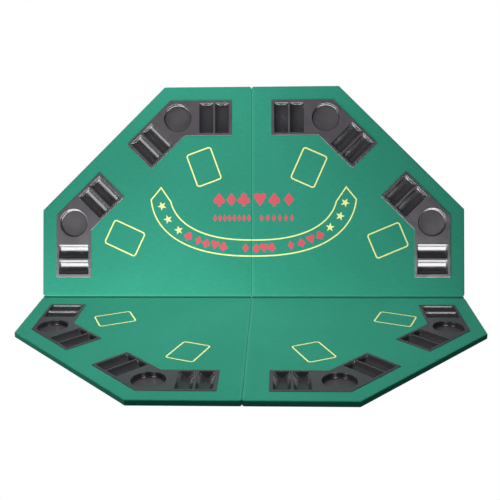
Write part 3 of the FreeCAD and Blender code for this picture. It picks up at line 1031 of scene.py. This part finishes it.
def run_group(item, tree, given):
    """Run a geometry tree on an object, its inputs set by their sockets, and keep the mesh."""
    modifier = item.modifiers.new(tree.name, "NODES")
    modifier.node_group = tree
    for socket in tree.interface.items_tree:
        if socket.in_out == "INPUT" and socket.name in given:
            modifier[socket.identifier] = given[socket.name]
    return settle(item)


def stamping_tree():
    """Prints a stamp at every point, turned and sized by the points' own attributes."""
    tree, given, out = new_group("Stamped prints", {
        "Stamps": "NodeSocketCollection",
        "Ink thickness": "NodeSocketFloat",
        "Material": "NodeSocketMaterial",
    })
    stamps = add_node(tree, "GeometryNodeCollectionInfo",
                      {"Collection": given.outputs["Stamps"], "Separate Children": True,
                       "Reset Children": True})
    kind = add_node(tree, "GeometryNodeInputNamedAttribute", {"Name": "kind"}, data_type="INT")
    turn = add_node(tree, "GeometryNodeInputNamedAttribute", {"Name": "turn"},
                    data_type="FLOAT")
    size = add_node(tree, "GeometryNodeInputNamedAttribute", {"Name": "size"},
                    data_type="FLOAT")
    turning = add_node(tree, "ShaderNodeCombineXYZ", {"Z": turn.outputs["Attribute"]})
    scaling = add_node(tree, "ShaderNodeCombineXYZ",
                       {"X": size.outputs["Attribute"], "Y": size.outputs["Attribute"],
                        "Z": given.outputs["Ink thickness"]})
    placed = add_node(tree, "GeometryNodeInstanceOnPoints",
                      {"Points": given.outputs["Geometry"],
                       "Instance": stamps.outputs["Instances"], "Pick Instance": True,
                       "Instance Index": kind.outputs["Attribute"],
                       "Rotation": turning.outputs[0], "Scale": scaling.outputs[0]})
    real = add_node(tree, "GeometryNodeRealizeInstances",
                    {"Geometry": placed.outputs["Instances"]})
    inked = add_node(tree, "GeometryNodeSetMaterial",
                     {"Geometry": real.outputs["Geometry"],
                      "Material": given.outputs["Material"]})
    tree.links.new(inked.outputs["Geometry"], out.inputs["Geometry"])
    return tree


def make_prints(sizes, prints, name, quarter, marks, tree, stamps, material):
    """A set of marks on a quarter; each mark is its place, turn, size and stamp number."""
    points = [Vector((x, y, felt_height(sizes, x, y) + prints.ink)) for x, y, *_ in marks]
    item = make_object(name, points, [], None)
    for key, kind, column in (("turn", "FLOAT", 2), ("size", "FLOAT", 3), ("kind", "INT", 4)):
        attribute = item.data.attributes.new(key, kind, "POINT")
        attribute.data.foreach_set("value", [mark[column] for mark in marks])
    run_group(item, tree, {"Stamps": stamps, "Ink thickness": prints.ink + prints.sunk,
                           "Material": material})
    drape_marks(sizes, prints, item)
    item.data.transform(placing(quarter))
    return item


def drape_marks(sizes, prints, item):
    """Lay stamped marks on the dipping felt, and give them the cloth's own places."""
    mesh = item.data
    for vertex in mesh.vertices:
        x, y, z = vertex.co
        level = felt_height(sizes, x, y)
        is_top = z > sizes.deck - prints.sunk
        vertex.co.z = level + (prints.ink if is_top else -prints.sunk)
    layer = mesh.uv_layers.new(name=CLOTH_MAP)
    for loop in mesh.loops:
        layer.data[loop.index].uv = mesh.vertices[loop.vertex_index].co.xy


# x and suit of each large mark; first x, pitch and number of the lozenges on each side
TOP_ROW_UP, LOW_ROW_UP = 0.282, 0.2285
TOP_ROW = ((-0.094, 0), (-0.0585, 3), (-0.0225, 2), (0.0245, 1), (0.066, 0), (0.108, 3))
LOW_ROW = ((-0.1055, 0.014, 8), (0.0295, 0.0175, 6))
# three groups of marks along the ribbon, and the stars beyond them with their turns
ARC_SPOTS = (-0.1832, -0.1545, -0.131, -0.1061, -0.0814, -0.0175, 0.0137, 0.0365, 0.059,
             0.1139, 0.1442, 0.1716, 0.1975)
STARS = ((-0.2603, 0.264, 0.5), (-0.2429, 0.2251, 0.35), (-0.2117, 0.1936, 0.2),
         (0.2701, 0.2719, -0.5), (0.2556, 0.2334, -0.3), (0.2266, 0.2011, -0.1))


def suit_marks(prints):
    """Two rows of marks and one along the ribbon, over the whole rear half."""
    marks = []
    for x, kind in TOP_ROW:
        marks.append((x, TOP_ROW_UP, 0, prints.big_suit, kind))
    for first, pitch, count in LOW_ROW:
        for step in range(count):
            marks.append((first + step * pitch, LOW_ROW_UP, 0, prints.small_suit,
                          LOZENGE_STAMP))
    inner, outer = ribbon_lines(prints)
    middle = [(low + high) / 2 for low, high in zip(inner, outer)]
    for step, x in enumerate(ARC_SPOTS):
        out = x - prints.ribbon_shift
        height = ribbon_height(middle, abs(out))
        ahead = ribbon_height(middle, abs(out + 0.001))
        turn = math.atan2(ahead - height, 0.001)
        marks.append((x, height, turn, prints.arc_suit, (step + 2) % 4))
    return marks


# ---- staples ------------------------------------------------------------------------------------

def make_staple(trims):
    """One staple, its crown along X with its back at Z = 0 and its legs upwards."""
    half, wire, leg = trims.staple_width / 2, trims.staple_wire, trims.staple_leg
    bend = wire * 1.3
    line = [(-half, leg), (-half, bend), (-half + bend * 0.4, bend * 0.4 - wire / 4),
            (-half + bend, wire / 2), (half - bend, wire / 2),
            (half - bend * 0.4, bend * 0.4 - wire / 4), (half, bend), (half, leg)]
    points = []
    for here, (x, z) in enumerate(line):
        before = Vector(line[max(here - 1, 0)])
        after = Vector(line[min(here + 1, len(line) - 1)])
        way = (after - before).normalized()
        out = Vector((-way.y, way.x)) * wire / 2
        for side, depth in ((1, 1), (1, -1), (-1, -1), (-1, 1)):
            points.append(Vector((x + out.x * side, depth * wire * 0.6, z + out.y * side)))
    faces = [(0, 1, 2, 3), (31, 30, 29, 28)]
    for here in range(len(line) - 1):
        for corner in range(4):
            ahead = (corner + 1) % 4
            first = 4 * here
            faces.append((first + corner, first + ahead, first + 4 + ahead, first + 4 + corner))
    staple = make_object("Staple", points, faces, None)
    face_outwards(staple)
    return staple


def stapling_tree():
    """Drives a staple every so far along a loop, each a little askew."""
    tree, given, out = new_group("Stapled hem", {
        "Staple": "NodeSocketObject",
        "Pitch": "NodeSocketFloat",
        "Askew": "NodeSocketFloat",
        "Seed": "NodeSocketInt",
        "Material": "NodeSocketMaterial",
    })
    curve = add_node(tree, "GeometryNodeMeshToCurve", {"Mesh": given.outputs["Geometry"]})
    spread = add_node(tree, "GeometryNodeCurveToPoints",
                      {"Curve": curve.outputs["Curve"], "Length": given.outputs["Pitch"]},
                      mode="LENGTH")
    askew = add_node(tree, "ShaderNodeMath", {0: given.outputs["Askew"], 1: -1.0},
                     operation="MULTIPLY")
    lean = add_node(tree, "FunctionNodeRandomValue",
                    {2: askew.outputs[0], 3: given.outputs["Askew"],
                     "Seed": given.outputs["Seed"]}, data_type="FLOAT")
    heading = add_node(tree, "FunctionNodeAlignRotationToVector",
                       {"Vector": spread.outputs["Tangent"]}, axis="X", pivot_axis="Z")
    tilt = add_node(tree, "ShaderNodeCombineXYZ", {"Z": lean.outputs[1]})
    turned = add_node(tree, "FunctionNodeRotateRotation",
                      {"Rotation": heading.outputs["Rotation"], "Rotate By": tilt.outputs[0]},
                      rotation_space="LOCAL")
    staple = add_node(tree, "GeometryNodeObjectInfo", {"Object": given.outputs["Staple"]})
    placed = add_node(tree, "GeometryNodeInstanceOnPoints",
                      {"Points": spread.outputs["Points"],
                       "Instance": staple.outputs["Geometry"],
                       "Rotation": turned.outputs["Rotation"]})
    real = add_node(tree, "GeometryNodeRealizeInstances",
                    {"Geometry": placed.outputs["Instances"]})
    plated = add_node(tree, "GeometryNodeSetMaterial",
                      {"Geometry": real.outputs["Geometry"],
                       "Material": given.outputs["Material"]})
    tree.links.new(plated.outputs["Geometry"], out.inputs["Geometry"])
    return tree


# ---- materials ----------------------------------------------------------------------------------

def new_material(name):
    """An empty material: its tree and its shader."""
    material = bpy.data.materials.new(name)
    material.use_nodes = True
    tree = material.node_tree
    tree.nodes.clear()
    shader = add_node(tree, "ShaderNodeBsdfPrincipled")
    add_node(tree, "ShaderNodeOutputMaterial", {"Surface": shader.outputs["BSDF"]})
    return material, tree, shader


def opaque(shade_of, strength=1):
    """A colour with full cover, made darker or paler by a strength."""
    return (*(strength * part for part in shade_of), 1)


def felt_material(colours):
    """Brushed polyester felt: matt, with a raised nap that scatters light at its edges."""
    material, tree, shader = new_material("Brushed polyester felt")
    place = add_node(tree, "ShaderNodeUVMap", uv_map=CLOTH_MAP).outputs["UV"]
    # fibres are a fraction of a millimetre apart; clumps of them are drawn at 3 mm to show
    clump = add_node(tree, "ShaderNodeTexNoise",
                     {"Vector": place, "Scale": 1 / 0.003, "Detail": 6.0, "Roughness": 0.7})
    combed = add_node(tree, "ShaderNodeMapping", {"Vector": place, "Scale": (1, 6, 1)})
    nap = add_node(tree, "ShaderNodeTexNoise",
                   {"Vector": combed.outputs["Vector"], "Scale": 1 / 0.02, "Detail": 4.0})
    drift = add_node(tree, "ShaderNodeTexNoise",
                     {"Vector": place, "Scale": 1 / 0.3, "Detail": 2.0})
    blend = add_node(tree, "ShaderNodeMath",
                     {0: clump.outputs["Fac"], 1: nap.outputs["Fac"]}, operation="ADD")
    blend = add_node(tree, "ShaderNodeMath",
                     {0: blend.outputs[0], 1: drift.outputs["Fac"]}, operation="ADD")
    share = add_node(tree, "ShaderNodeMapRange",
                     {"Value": blend.outputs[0], "From Min": 0.9, "From Max": 2.1})
    tint = add_node(tree, "ShaderNodeMix",
                    {"Factor": share.outputs["Result"], "A": opaque(colours.felt_shade),
                     "B": opaque(colours.felt_light)}, data_type="RGBA")
    # painted highlight: the felt's colour is made paler within a few millimetres of the short seam
    across = add_node(tree, "ShaderNodeSeparateXYZ", {0: place}).outputs["X"]
    away = add_node(tree, "ShaderNodeMath", {0: across}, operation="ABSOLUTE")
    highlighted = add_node(tree, "ShaderNodeMapRange",
                      {"Value": away.outputs[0], "From Min": 0.001, "From Max": 0.007,
                       "To Min": 0.4, "To Max": 0.0})
    highlighted_tint = add_node(tree, "ShaderNodeMix",
                    {"Factor": highlighted.outputs["Result"], "A": tint.outputs["Result"],
                     "B": opaque(colours.felt_seam_highlight)}, data_type="RGBA")
    fuzz = add_node(tree, "ShaderNodeTexNoise",
                    {"Vector": place, "Scale": 1 / 0.0012, "Detail": 3.0})
    bump = add_node(tree, "ShaderNodeBump",
                    {"Height": fuzz.outputs["Fac"], "Distance": 0.0004, "Strength": 0.5})
    set_inputs(tree, shader, {
        "Base Color": highlighted_tint.outputs["Result"],
        "Normal": bump.outputs["Normal"],
        "Roughness": 0.92,
        "Specular IOR Level": 0.12,
        "Sheen Weight": 0.04,
        "Sheen Roughness": 0.45,
    })
    return material


def ink_material(name, base):
    """Screen-printed ink: flatter than the felt, which shows through it as fine speckle."""
    material, tree, shader = new_material(name)
    place = add_node(tree, "ShaderNodeUVMap", uv_map=CLOTH_MAP).outputs["UV"]
    speck = add_node(tree, "ShaderNodeTexNoise",
                     {"Vector": place, "Scale": 1 / 0.0015, "Detail": 4.0})
    share = add_node(tree, "ShaderNodeMapRange",
                     {"Value": speck.outputs["Fac"], "From Min": 0.35, "From Max": 0.65,
                      "To Min": 0.82, "To Max": 1.0})
    tint = add_node(tree, "ShaderNodeMix",
                    {"Factor": share.outputs["Result"],
                     "A": opaque(base, 0.45), "B": opaque(base)},
                    data_type="RGBA")
    bump = add_node(tree, "ShaderNodeBump",
                    {"Height": speck.outputs["Fac"], "Distance": 0.0002, "Strength": 0.5})
    set_inputs(tree, shader, {
        "Base Color": tint.outputs["Result"],
        "Normal": bump.outputs["Normal"],
        "Roughness": 0.7,
        "Specular IOR Level": 0.2,
    })
    return material


def tray_material(name, base, rough, shine, relief):
    """Injection-moulded ABS: its finish is that of the mould, from polished to spark-eroded."""
    material, tree, shader = new_material(name)
    place = add_node(tree, "ShaderNodeTexCoord").outputs["Object"]
    grain = add_node(tree, "ShaderNodeTexNoise",
                     {"Vector": place, "Scale": 1 / 0.0009, "Detail": 3.0})
    cloud = add_node(tree, "ShaderNodeTexNoise",
                     {"Vector": place, "Scale": 1 / 0.035, "Detail": 4.0})
    tint = add_node(tree, "ShaderNodeMix",
                    {"Factor": cloud.outputs["Fac"],
                     "A": opaque(base, 0.85),
                     "B": opaque(base, 1.15)}, data_type="RGBA")
    gloss = add_node(tree, "ShaderNodeMapRange",
                     {"Value": cloud.outputs["Fac"], "From Min": 0.3, "From Max": 0.7,
                      "To Min": rough, "To Max": rough + 0.08})
    bump = add_node(tree, "ShaderNodeBump",
                    {"Height": grain.outputs["Fac"], "Distance": 0.00006, "Strength": relief})
    set_inputs(tree, shader, {
        "Base Color": tint.outputs["Result"],
        "Roughness": gloss.outputs["Result"],
        "Normal": bump.outputs["Normal"],
        "IOR": 1.53,
        "Specular IOR Level": shine,
    })
    return material


def board_material(colours):
    """Raw medium-density fibreboard: matt brown with short darker fibres and fine dust."""
    material, tree, shader = new_material("Sanded fibreboard")
    place = add_node(tree, "ShaderNodeTexCoord").outputs["Object"]
    fibre = add_node(tree, "ShaderNodeTexNoise",
                     {"Vector": place, "Scale": 1 / 0.002, "Detail": 8.0, "Roughness": 0.75,
                      "Distortion": 0.6})
    patch = add_node(tree, "ShaderNodeTexNoise",
                     {"Vector": place, "Scale": 1 / 0.012, "Detail": 3.0})
    both = add_node(tree, "ShaderNodeMath",
                    {0: fibre.outputs["Fac"], 1: patch.outputs["Fac"]}, operation="ADD")
    share = add_node(tree, "ShaderNodeMapRange",
                     {"Value": both.outputs[0], "From Min": 0.6, "From Max": 1.3})
    tint = add_node(tree, "ShaderNodeMix",
                    {"Factor": share.outputs["Result"], "A": opaque(colours.board_fibre),
                     "B": opaque(colours.board)}, data_type="RGBA")
    bump = add_node(tree, "ShaderNodeBump",
                    {"Height": fibre.outputs["Fac"], "Distance": 0.0003, "Strength": 0.4})
    set_inputs(tree, shader, {
        "Base Color": tint.outputs["Result"],
        "Normal": bump.outputs["Normal"],
        "Roughness": 0.78,
        "Specular IOR Level": 0.3,
    })
    return material


def tape_material(colours):
    """Plain-woven cotton tape: matt, crossed threads drawn at 1.2 mm so that they show."""
    material, tree, shader = new_material("Woven cotton tape")
    place = add_node(tree, "ShaderNodeUVMap", uv_map=CLOTH_MAP).outputs["UV"]
    warp = add_node(tree, "ShaderNodeTexWave", {"Vector": place, "Scale": 1 / 0.0038},
                    bands_direction="X")
    weft = add_node(tree, "ShaderNodeTexWave", {"Vector": place, "Scale": 1 / 0.0038},
                    bands_direction="Y")
    cross = add_node(tree, "ShaderNodeMath",
                     {0: warp.outputs["Fac"], 1: weft.outputs["Fac"]}, operation="MULTIPLY")
    tint = add_node(tree, "ShaderNodeMix",
                    {"Factor": cross.outputs[0],
                     "A": opaque(colours.tape, 0.6),
                     "B": opaque(colours.tape)}, data_type="RGBA")
    bump = add_node(tree, "ShaderNodeBump",
                    {"Height": cross.outputs[0], "Distance": 0.0002, "Strength": 0.6})
    set_inputs(tree, shader, {
        "Base Color": tint.outputs["Result"],
        "Normal": bump.outputs["Normal"],
        "Roughness": 0.9,
        "Specular IOR Level": 0.2,
    })
    return material


def foam_material(colours):
    """Closed-cell polyethylene foam: matt, pale, with cells about a millimetre across."""
    material, tree, shader = new_material("Polyethylene foam")
    place = add_node(tree, "ShaderNodeTexCoord").outputs["Object"]
    cells = add_node(tree, "ShaderNodeTexVoronoi", {"Vector": place, "Scale": 1 / 0.0012})
    tint = add_node(tree, "ShaderNodeMix",
                    {"Factor": cells.outputs["Distance"], "A": opaque(colours.foam),
                     "B": opaque(colours.foam, 0.8)}, data_type="RGBA")
    bump = add_node(tree, "ShaderNodeBump",
                    {"Height": cells.outputs["Distance"], "Distance": 0.0002})
    set_inputs(tree, shader, {
        "Base Color": tint.outputs["Result"],
        "Normal": bump.outputs["Normal"],
        "Roughness": 0.8,
    })
    return material


def zinc_material(name, colours, rough):
    """Zinc-plated steel: metallic, a little cloudy from the plating bath, faintly brushed."""
    material, tree, shader = new_material(name)
    place = add_node(tree, "ShaderNodeTexCoord").outputs["Object"]
    cloud = add_node(tree, "ShaderNodeTexNoise",
                     {"Vector": place, "Scale": 1 / 0.006, "Detail": 5.0})
    tint = add_node(tree, "ShaderNodeMix",
                    {"Factor": cloud.outputs["Fac"],
                     "A": opaque(colours.zinc, 0.78),
                     "B": opaque(colours.zinc)}, data_type="RGBA")
    gloss = add_node(tree, "ShaderNodeMapRange",
                     {"Value": cloud.outputs["Fac"], "From Min": 0.3, "From Max": 0.7,
                      "To Min": rough, "To Max": rough + 0.14})
    brushed = add_node(tree, "ShaderNodeMapping", {"Vector": place, "Scale": (1, 1, 14)})
    lines = add_node(tree, "ShaderNodeTexNoise",
                     {"Vector": brushed.outputs["Vector"], "Scale": 1 / 0.003, "Detail": 3.0})
    bump = add_node(tree, "ShaderNodeBump",
                    {"Height": lines.outputs["Fac"], "Distance": 0.00003, "Strength": 0.3})
    set_inputs(tree, shader, {
        "Base Color": tint.outputs["Result"],
        "Roughness": gloss.outputs["Result"],
        "Normal": bump.outputs["Normal"],
        "Metallic": 1,
    })
    return material


# ---- operators ----------------------------------------------------------------------------------

def settings(context):
    """The scene's sizes and colours."""
    scene = context.scene
    return (scene.table_sizes, scene.table_trays, scene.table_prints, scene.table_trims,
            scene.table_colours)


class TABLE_OT_felt(bpy.types.Operator):
    """Stretch a felt cover over each quarter"""

    bl_idname = "table.felt"
    bl_label = "Felt covers"

    def execute(self, context):
        sizes, _, _, _, colours = settings(context)
        material = felt_material(colours)
        for quarter in QUARTERS:
            cover = make_felt(sizes, quarter, material)
            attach(cover, quarter)
            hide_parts(f"felt_{quarter}")
            area = cut_area(sizes, quarter)
        return {"FINISHED"}


class TABLE_OT_foam(bpy.types.Operator):
    """Lay a foam underlay on each board"""

    bl_idname = "table.foam"
    bl_label = "Foam underlay"

    def execute(self, context):
        sizes, _, _, _, colours = settings(context)
        material = foam_material(colours)
        for quarter in QUARTERS:
            foam = make_foam(sizes, quarter, material)
            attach(foam, quarter)
            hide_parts(f"foam_{quarter}")
        return {"FINISHED"}


class TABLE_OT_trays(bpy.types.Operator):
    """Drop the two moulded trays into each quarter"""

    bl_idname = "table.trays"
    bl_label = "Moulded trays"

    def execute(self, context):
        sizes, trays, _, _, colours = settings(context)
        # a spark-eroded mould leaves the flange more grained than the polished troughs; the darker
        # grey of the troughs and cup walls is painted shade
        finishes = (tray_material("Grained ABS", colours.plastic, 0.3, 0.5, 0.5),
                    tray_material("Polished ABS", colours.trough, 0.2, 0.5, 0.15),
                    tray_material("Matt ABS back", colours.plastic, 0.62, 0.2, 0.6))
        for quarter in QUARTERS:
            for name, angle in TRAY_ANGLES.items():
                tray = make_tray(sizes, trays, quarter, name, angle, finishes)
                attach(tray, quarter)
                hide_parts(f"chip_tray_{quarter}_{name}")
        return {"FINISHED"}


class TABLE_OT_tapes(bpy.types.Operator):
    """Glue the two cloth hinge tapes across the long seam"""

    bl_idname = "table.tapes"
    bl_label = "Hinge tapes"

    def execute(self, context):
        sizes, _, _, trims, colours = settings(context)
        material = tape_material(colours)
        for name, side in (("left", -1), ("right", 1)):
            tape, run = make_tape(sizes, trims, side, material)
            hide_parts(f"seam_tape_{name}")
            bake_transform(tape)
        return {"FINISHED"}


class TABLE_OT_prints(bpy.types.Operator):
    """Print the lines, stars and suit marks on the felt"""

    bl_idname = "table.prints"
    bl_label = "Prints"

    def execute(self, context):
        sizes, _, prints, _, colours = settings(context)
        yellow = ink_material("Yellow screen print", colours.yellow)
        red = ink_material("Red screen print", colours.red)
        for quarter in QUARTERS:
            lines = make_lines(sizes, prints, quarter, yellow)
            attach(lines, quarter)
        stamps = bpy.data.collections.new("Stamps")
        outlines = [suit_outline(parts) for parts in SUITS.values()]
        outlines += [suit_outline(LOZENGE), star_outline()]
        for number, outline in enumerate(outlines):
            stamp = make_stamp(f"Stamp {number}", outline)
            context.scene.collection.objects.unlink(stamp)
            stamps.objects.link(stamp)
        tree = stamping_tree()
        stars = [(x, y, turn, prints.star, STAR_STAMP) for x, y, turn in STARS]
        for quarter in ("rear_left", "rear_right"):
            across = QUARTERS[quarter][0]
            for kind, marks, ink in (("suit_prints", suit_marks(prints), red),
                                     ("star_prints", stars, yellow)):
                here = [mark for mark in marks if mark[0] * across > 0]
                item = make_prints(sizes, prints, f"{kind}_{quarter}", quarter, here, tree,
                                   stamps, ink)
                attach(item, quarter)
        for stamp in list(stamps.objects):
            bpy.data.objects.remove(stamp)
        bpy.data.collections.remove(stamps)
        return {"FINISHED"}


class TABLE_OT_staples(bpy.types.Operator):
    """Staple the turned-in felt to the underside of each board"""

    bl_idname = "table.staples"
    bl_label = "Staples"

    def execute(self, context):
        sizes, _, _, trims, colours = settings(context)
        material = zinc_material("Galvanised staple wire", colours, 0.3)
        staple = make_staple(trims)
        tree = stapling_tree()
        for seed, quarter in enumerate(QUARTERS):
            loop = quarter_loop(sizes, quarter, trims.staple_inset)
            points = [Vector((x, y, -0.00005)) for x, y in loop]
            count = len(points)
            mesh = bpy.data.meshes.new("Row")
            mesh.from_pydata(points, [(here, (here + 1) % count) for here in range(count)], [])
            item = bpy.data.objects.new(f"hem_staples_{quarter}", mesh)
            context.scene.collection.objects.link(item)
            run_group(item, tree, {"Staple": staple, "Pitch": trims.staple_pitch,
                                   "Askew": math.radians(7), "Seed": seed,
                                   "Material": material})
            item.data.transform(placing(quarter))
            shade(item, 35)
            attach(item, quarter)
        bpy.data.objects.remove(staple)
        return {"FINISHED"}


class TABLE_OT_finishes(bpy.types.Operator):
    """Give the boards, trays and hinge parts their finishes"""

    bl_idname = "table.finishes"
    bl_label = "Finishes"

    def execute(self, context):
        colours = settings(context)[-1]
        finishes = {
            "board_": board_material(colours),
            "chip_tray_": bpy.data.materials["Matt ABS back"],
            "back_hinge_": zinc_material("Zinc-plated steel", colours, 0.26),
            "hinge_screws_": zinc_material("Zinc-plated screws", colours, 0.2),
        }
        for name, node in frame["nodes"].items():
            for start, material in finishes.items():
                if name.startswith(start):
                    for place in node.material_slots:
                        place.material = material
        return {"FINISHED"}


class TABLE_OT_stage(bpy.types.Operator):
    """Add the floor, the lights, the surroundings and the camera"""

    bl_idname = "table.stage"
    bl_label = "Stage"

    def execute(self, context):
        scene = context.scene
        floor = make_object("Floor", [(-9, -9, -0.0012), (9, -9, -0.0012), (9, 9, -0.0012),
                                      (-9, 9, -0.0012)], [(0, 1, 2, 3)], floor_material())
        for kind in ("visible_diffuse", "visible_glossy", "visible_shadow"):
            setattr(floor, kind, False)
        floor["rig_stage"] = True
        for light in light_plan(*light_groups(floor)):
            add_light(scene, *light)
        world = bpy.data.worlds.new("Surroundings")
        world.use_nodes = True
        tree = world.node_tree
        tree.nodes.clear()
        path = add_node(tree, "ShaderNodeLightPath")
        seen = add_node(tree, "ShaderNodeBackground", {"Color": (1, 1, 1, 1), "Strength": 1.0})
        lit = add_node(tree, "ShaderNodeBackground",
                       {"Color": (0.93, 0.97, 1, 1), "Strength": 0.11})
        both = add_node(tree, "ShaderNodeMixShader",
                        {0: path.outputs["Is Camera Ray"], 1: lit.outputs[0],
                         2: seen.outputs[0]})
        add_node(tree, "ShaderNodeOutputWorld", {"Surface": both.outputs[0]})
        scene.world = world
        camera = bpy.data.cameras.new("Camera")
        camera.lens = 55
        camera.sensor_width = 36
        holder = bpy.data.objects.new("Camera", camera)
        holder.location = (0.0801, SEAM.y - 2.0638, 0.8067)
        holder.rotation_euler = Euler([math.radians(turn) for turn in (72.589, 0.706, 2.079)])
        scene.collection.objects.link(holder)
        scene.camera = holder
        scene.view_settings.view_transform = "Standard"
        return {"FINISHED"}


def floor_material():
    """An evenly lit paper sweep."""
    material = bpy.data.materials.new("White paper sweep")
    material.use_nodes = True
    tree = material.node_tree
    tree.nodes.clear()
    glow = add_node(tree, "ShaderNodeEmission", {"Color": (1, 1, 1, 1), "Strength": 1.0})
    add_node(tree, "ShaderNodeOutputMaterial", {"Surface": glow.outputs[0]})
    return material


def light_groups(floor):
    """Both halves, their trays, and the floor alone, as collections to link lights to."""
    raised, level, raised_trays, lying_trays, unblocked = (
        bpy.data.collections.new(name) for name in (
            "Raised half", "Lying half", "Raised trays", "Lying trays", "Card blockers"))
    unblocked.objects.link(floor)
    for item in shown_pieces():
        is_raised = str(item.get("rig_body", "")).startswith("rear")
        (raised if is_raised else level).objects.link(item)
        if item.name.startswith("moulded_tray"):
            (raised_trays if is_raised else lying_trays).objects.link(item)
    return raised, level, raised_trays, lying_trays, unblocked


def light_plan(raised, level, raised_trays, lying_trays, unblocked):
    """Name, place, aim, size, watts, pieces lit, pieces that block it, and where it's unseen."""
    overhead = ((-0.18, -0.08, 1.25), (-0.06, 0, 0), (1.1, 0.5))
    soft, card = "visible_glossy", "visible_diffuse"
    # the cards give the trays' bright bands; a flange that mirrors one turns white
    return (
        ("Overhead softbox", *overhead, 17, level, None, soft),
        ("Overhead fill", *overhead, 10.5, raised, None, soft),
        ("Grazing strip", (-0.42, -0.42, -0.5), (0, 0.3, 0.3), (1.4, 0.35), 23, raised,
         raised, soft),
        ("Left kicker", (-1.9, -0.25, 0.12), (-0.5, -0.2, 0), (0.5, 0.2), 8, level, None,
         soft),
        ("Sloping card", (0, -0.13, 0.075), (0, -0.04, 0.715), (1.5, 0.65), 62,
         raised_trays, unblocked, card),
        ("Left card", (-1.3, -0.35, 0.05), (-0.4, 0.3, 0.25), (0.8, 0.7), 13, raised_trays,
         unblocked, card),
        ("Low left card", (-0.75, 0.45, -0.6), (-0.75, 0.3, 0.1), (0.5, 1.2), 14,
         raised_trays, unblocked, card),
        ("Low right card", (0.65, 0.45, -0.6), (0.65, 0.3, 0.1), (0.4, 1.2), 11,
         raised_trays, unblocked, card),
        ("Front left card", (-0.9, -1.5, 0.6), (-0.5, 0, 0), (0.45, 0.8), 18, lying_trays,
         unblocked, card),
        ("Front right card", (0.78, -1.5, 0.6), (0.5, 0, 0), (0.4, 0.8), 16, lying_trays,
         unblocked, card),
        ("Rear fill", (0.7, 2.3, 0.4), (0, 0.4, 0.3), (1.6, 0.8), 30, None, None, soft),
    )


def add_light(scene, name, place, aim, size, power, lit, shading, unseen):
    """Add an area light, which may light and be blocked by some pieces only."""
    light = bpy.data.lights.new(name, "AREA")
    light.shape = "RECTANGLE"
    light.size, light.size_y = size
    light.energy = power
    holder = bpy.data.objects.new(name, light)
    holder.location = place
    holder.rotation_euler = (Vector(aim) - Vector(place)).to_track_quat("-Z", "Y").to_euler()
    holder.visible_camera = False
    setattr(holder, unseen, False)
    scene.collection.objects.link(holder)
    holder.light_linking.receiver_collection = lit
    holder.light_linking.blocker_collection = shading


STEPS = (TABLE_OT_felt, TABLE_OT_foam, TABLE_OT_trays, TABLE_OT_tapes, TABLE_OT_prints,
         TABLE_OT_staples, TABLE_OT_finishes, TABLE_OT_stage)


class TABLE_PT_panel(bpy.types.Panel):
    """Steps that build the table top"""

    bl_label = "Folding poker table top"
    bl_idname = "TABLE_PT_panel"
    bl_space_type = "VIEW_3D"
    bl_region_type = "UI"
    bl_category = "Table top"

    def draw(self, context):
        for step in STEPS:
            self.layout.operator(step.bl_idname)
        for group in settings(context):
            for name in group.__annotations__:
                self.layout.prop(group, name)


GROUPS = {
    "table_sizes": TableSizes,
    "table_trays": TraySizes,
    "table_prints": PrintSizes,
    "table_trims": TrimSizes,
    "table_colours": TableColours,
}


def register():
    """Register the property groups, the operators and the panel."""
    for group in GROUPS.values():
        bpy.utils.register_class(group)
    for item in (*STEPS, TABLE_PT_panel):
        bpy.utils.register_class(item)
    for name, group in GROUPS.items():
        setattr(bpy.types.Scene, name, bpy.props.PointerProperty(type=group))


def unregister():
    """Undo what register did."""
    for name in GROUPS:
        delattr(bpy.types.Scene, name)
    for item in (TABLE_PT_panel, *reversed(STEPS), *GROUPS.values()):
        bpy.utils.unregister_class(item)


def main():
    """Build every piece and the stage."""
    register()
    bpy.ops.table.felt()
    bpy.ops.table.foam()
    bpy.ops.table.trays()
    bpy.ops.table.tapes()
    bpy.ops.table.prints()
    bpy.ops.table.staples()
    bpy.ops.table.finishes()
    bpy.ops.table.stage()
    boxes = {"cad": CAD_BOX, "visual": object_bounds()}
    {name: [list(corner) for corner in box] for name, box in boxes.items()}


if __name__ == "__main__":
    main()
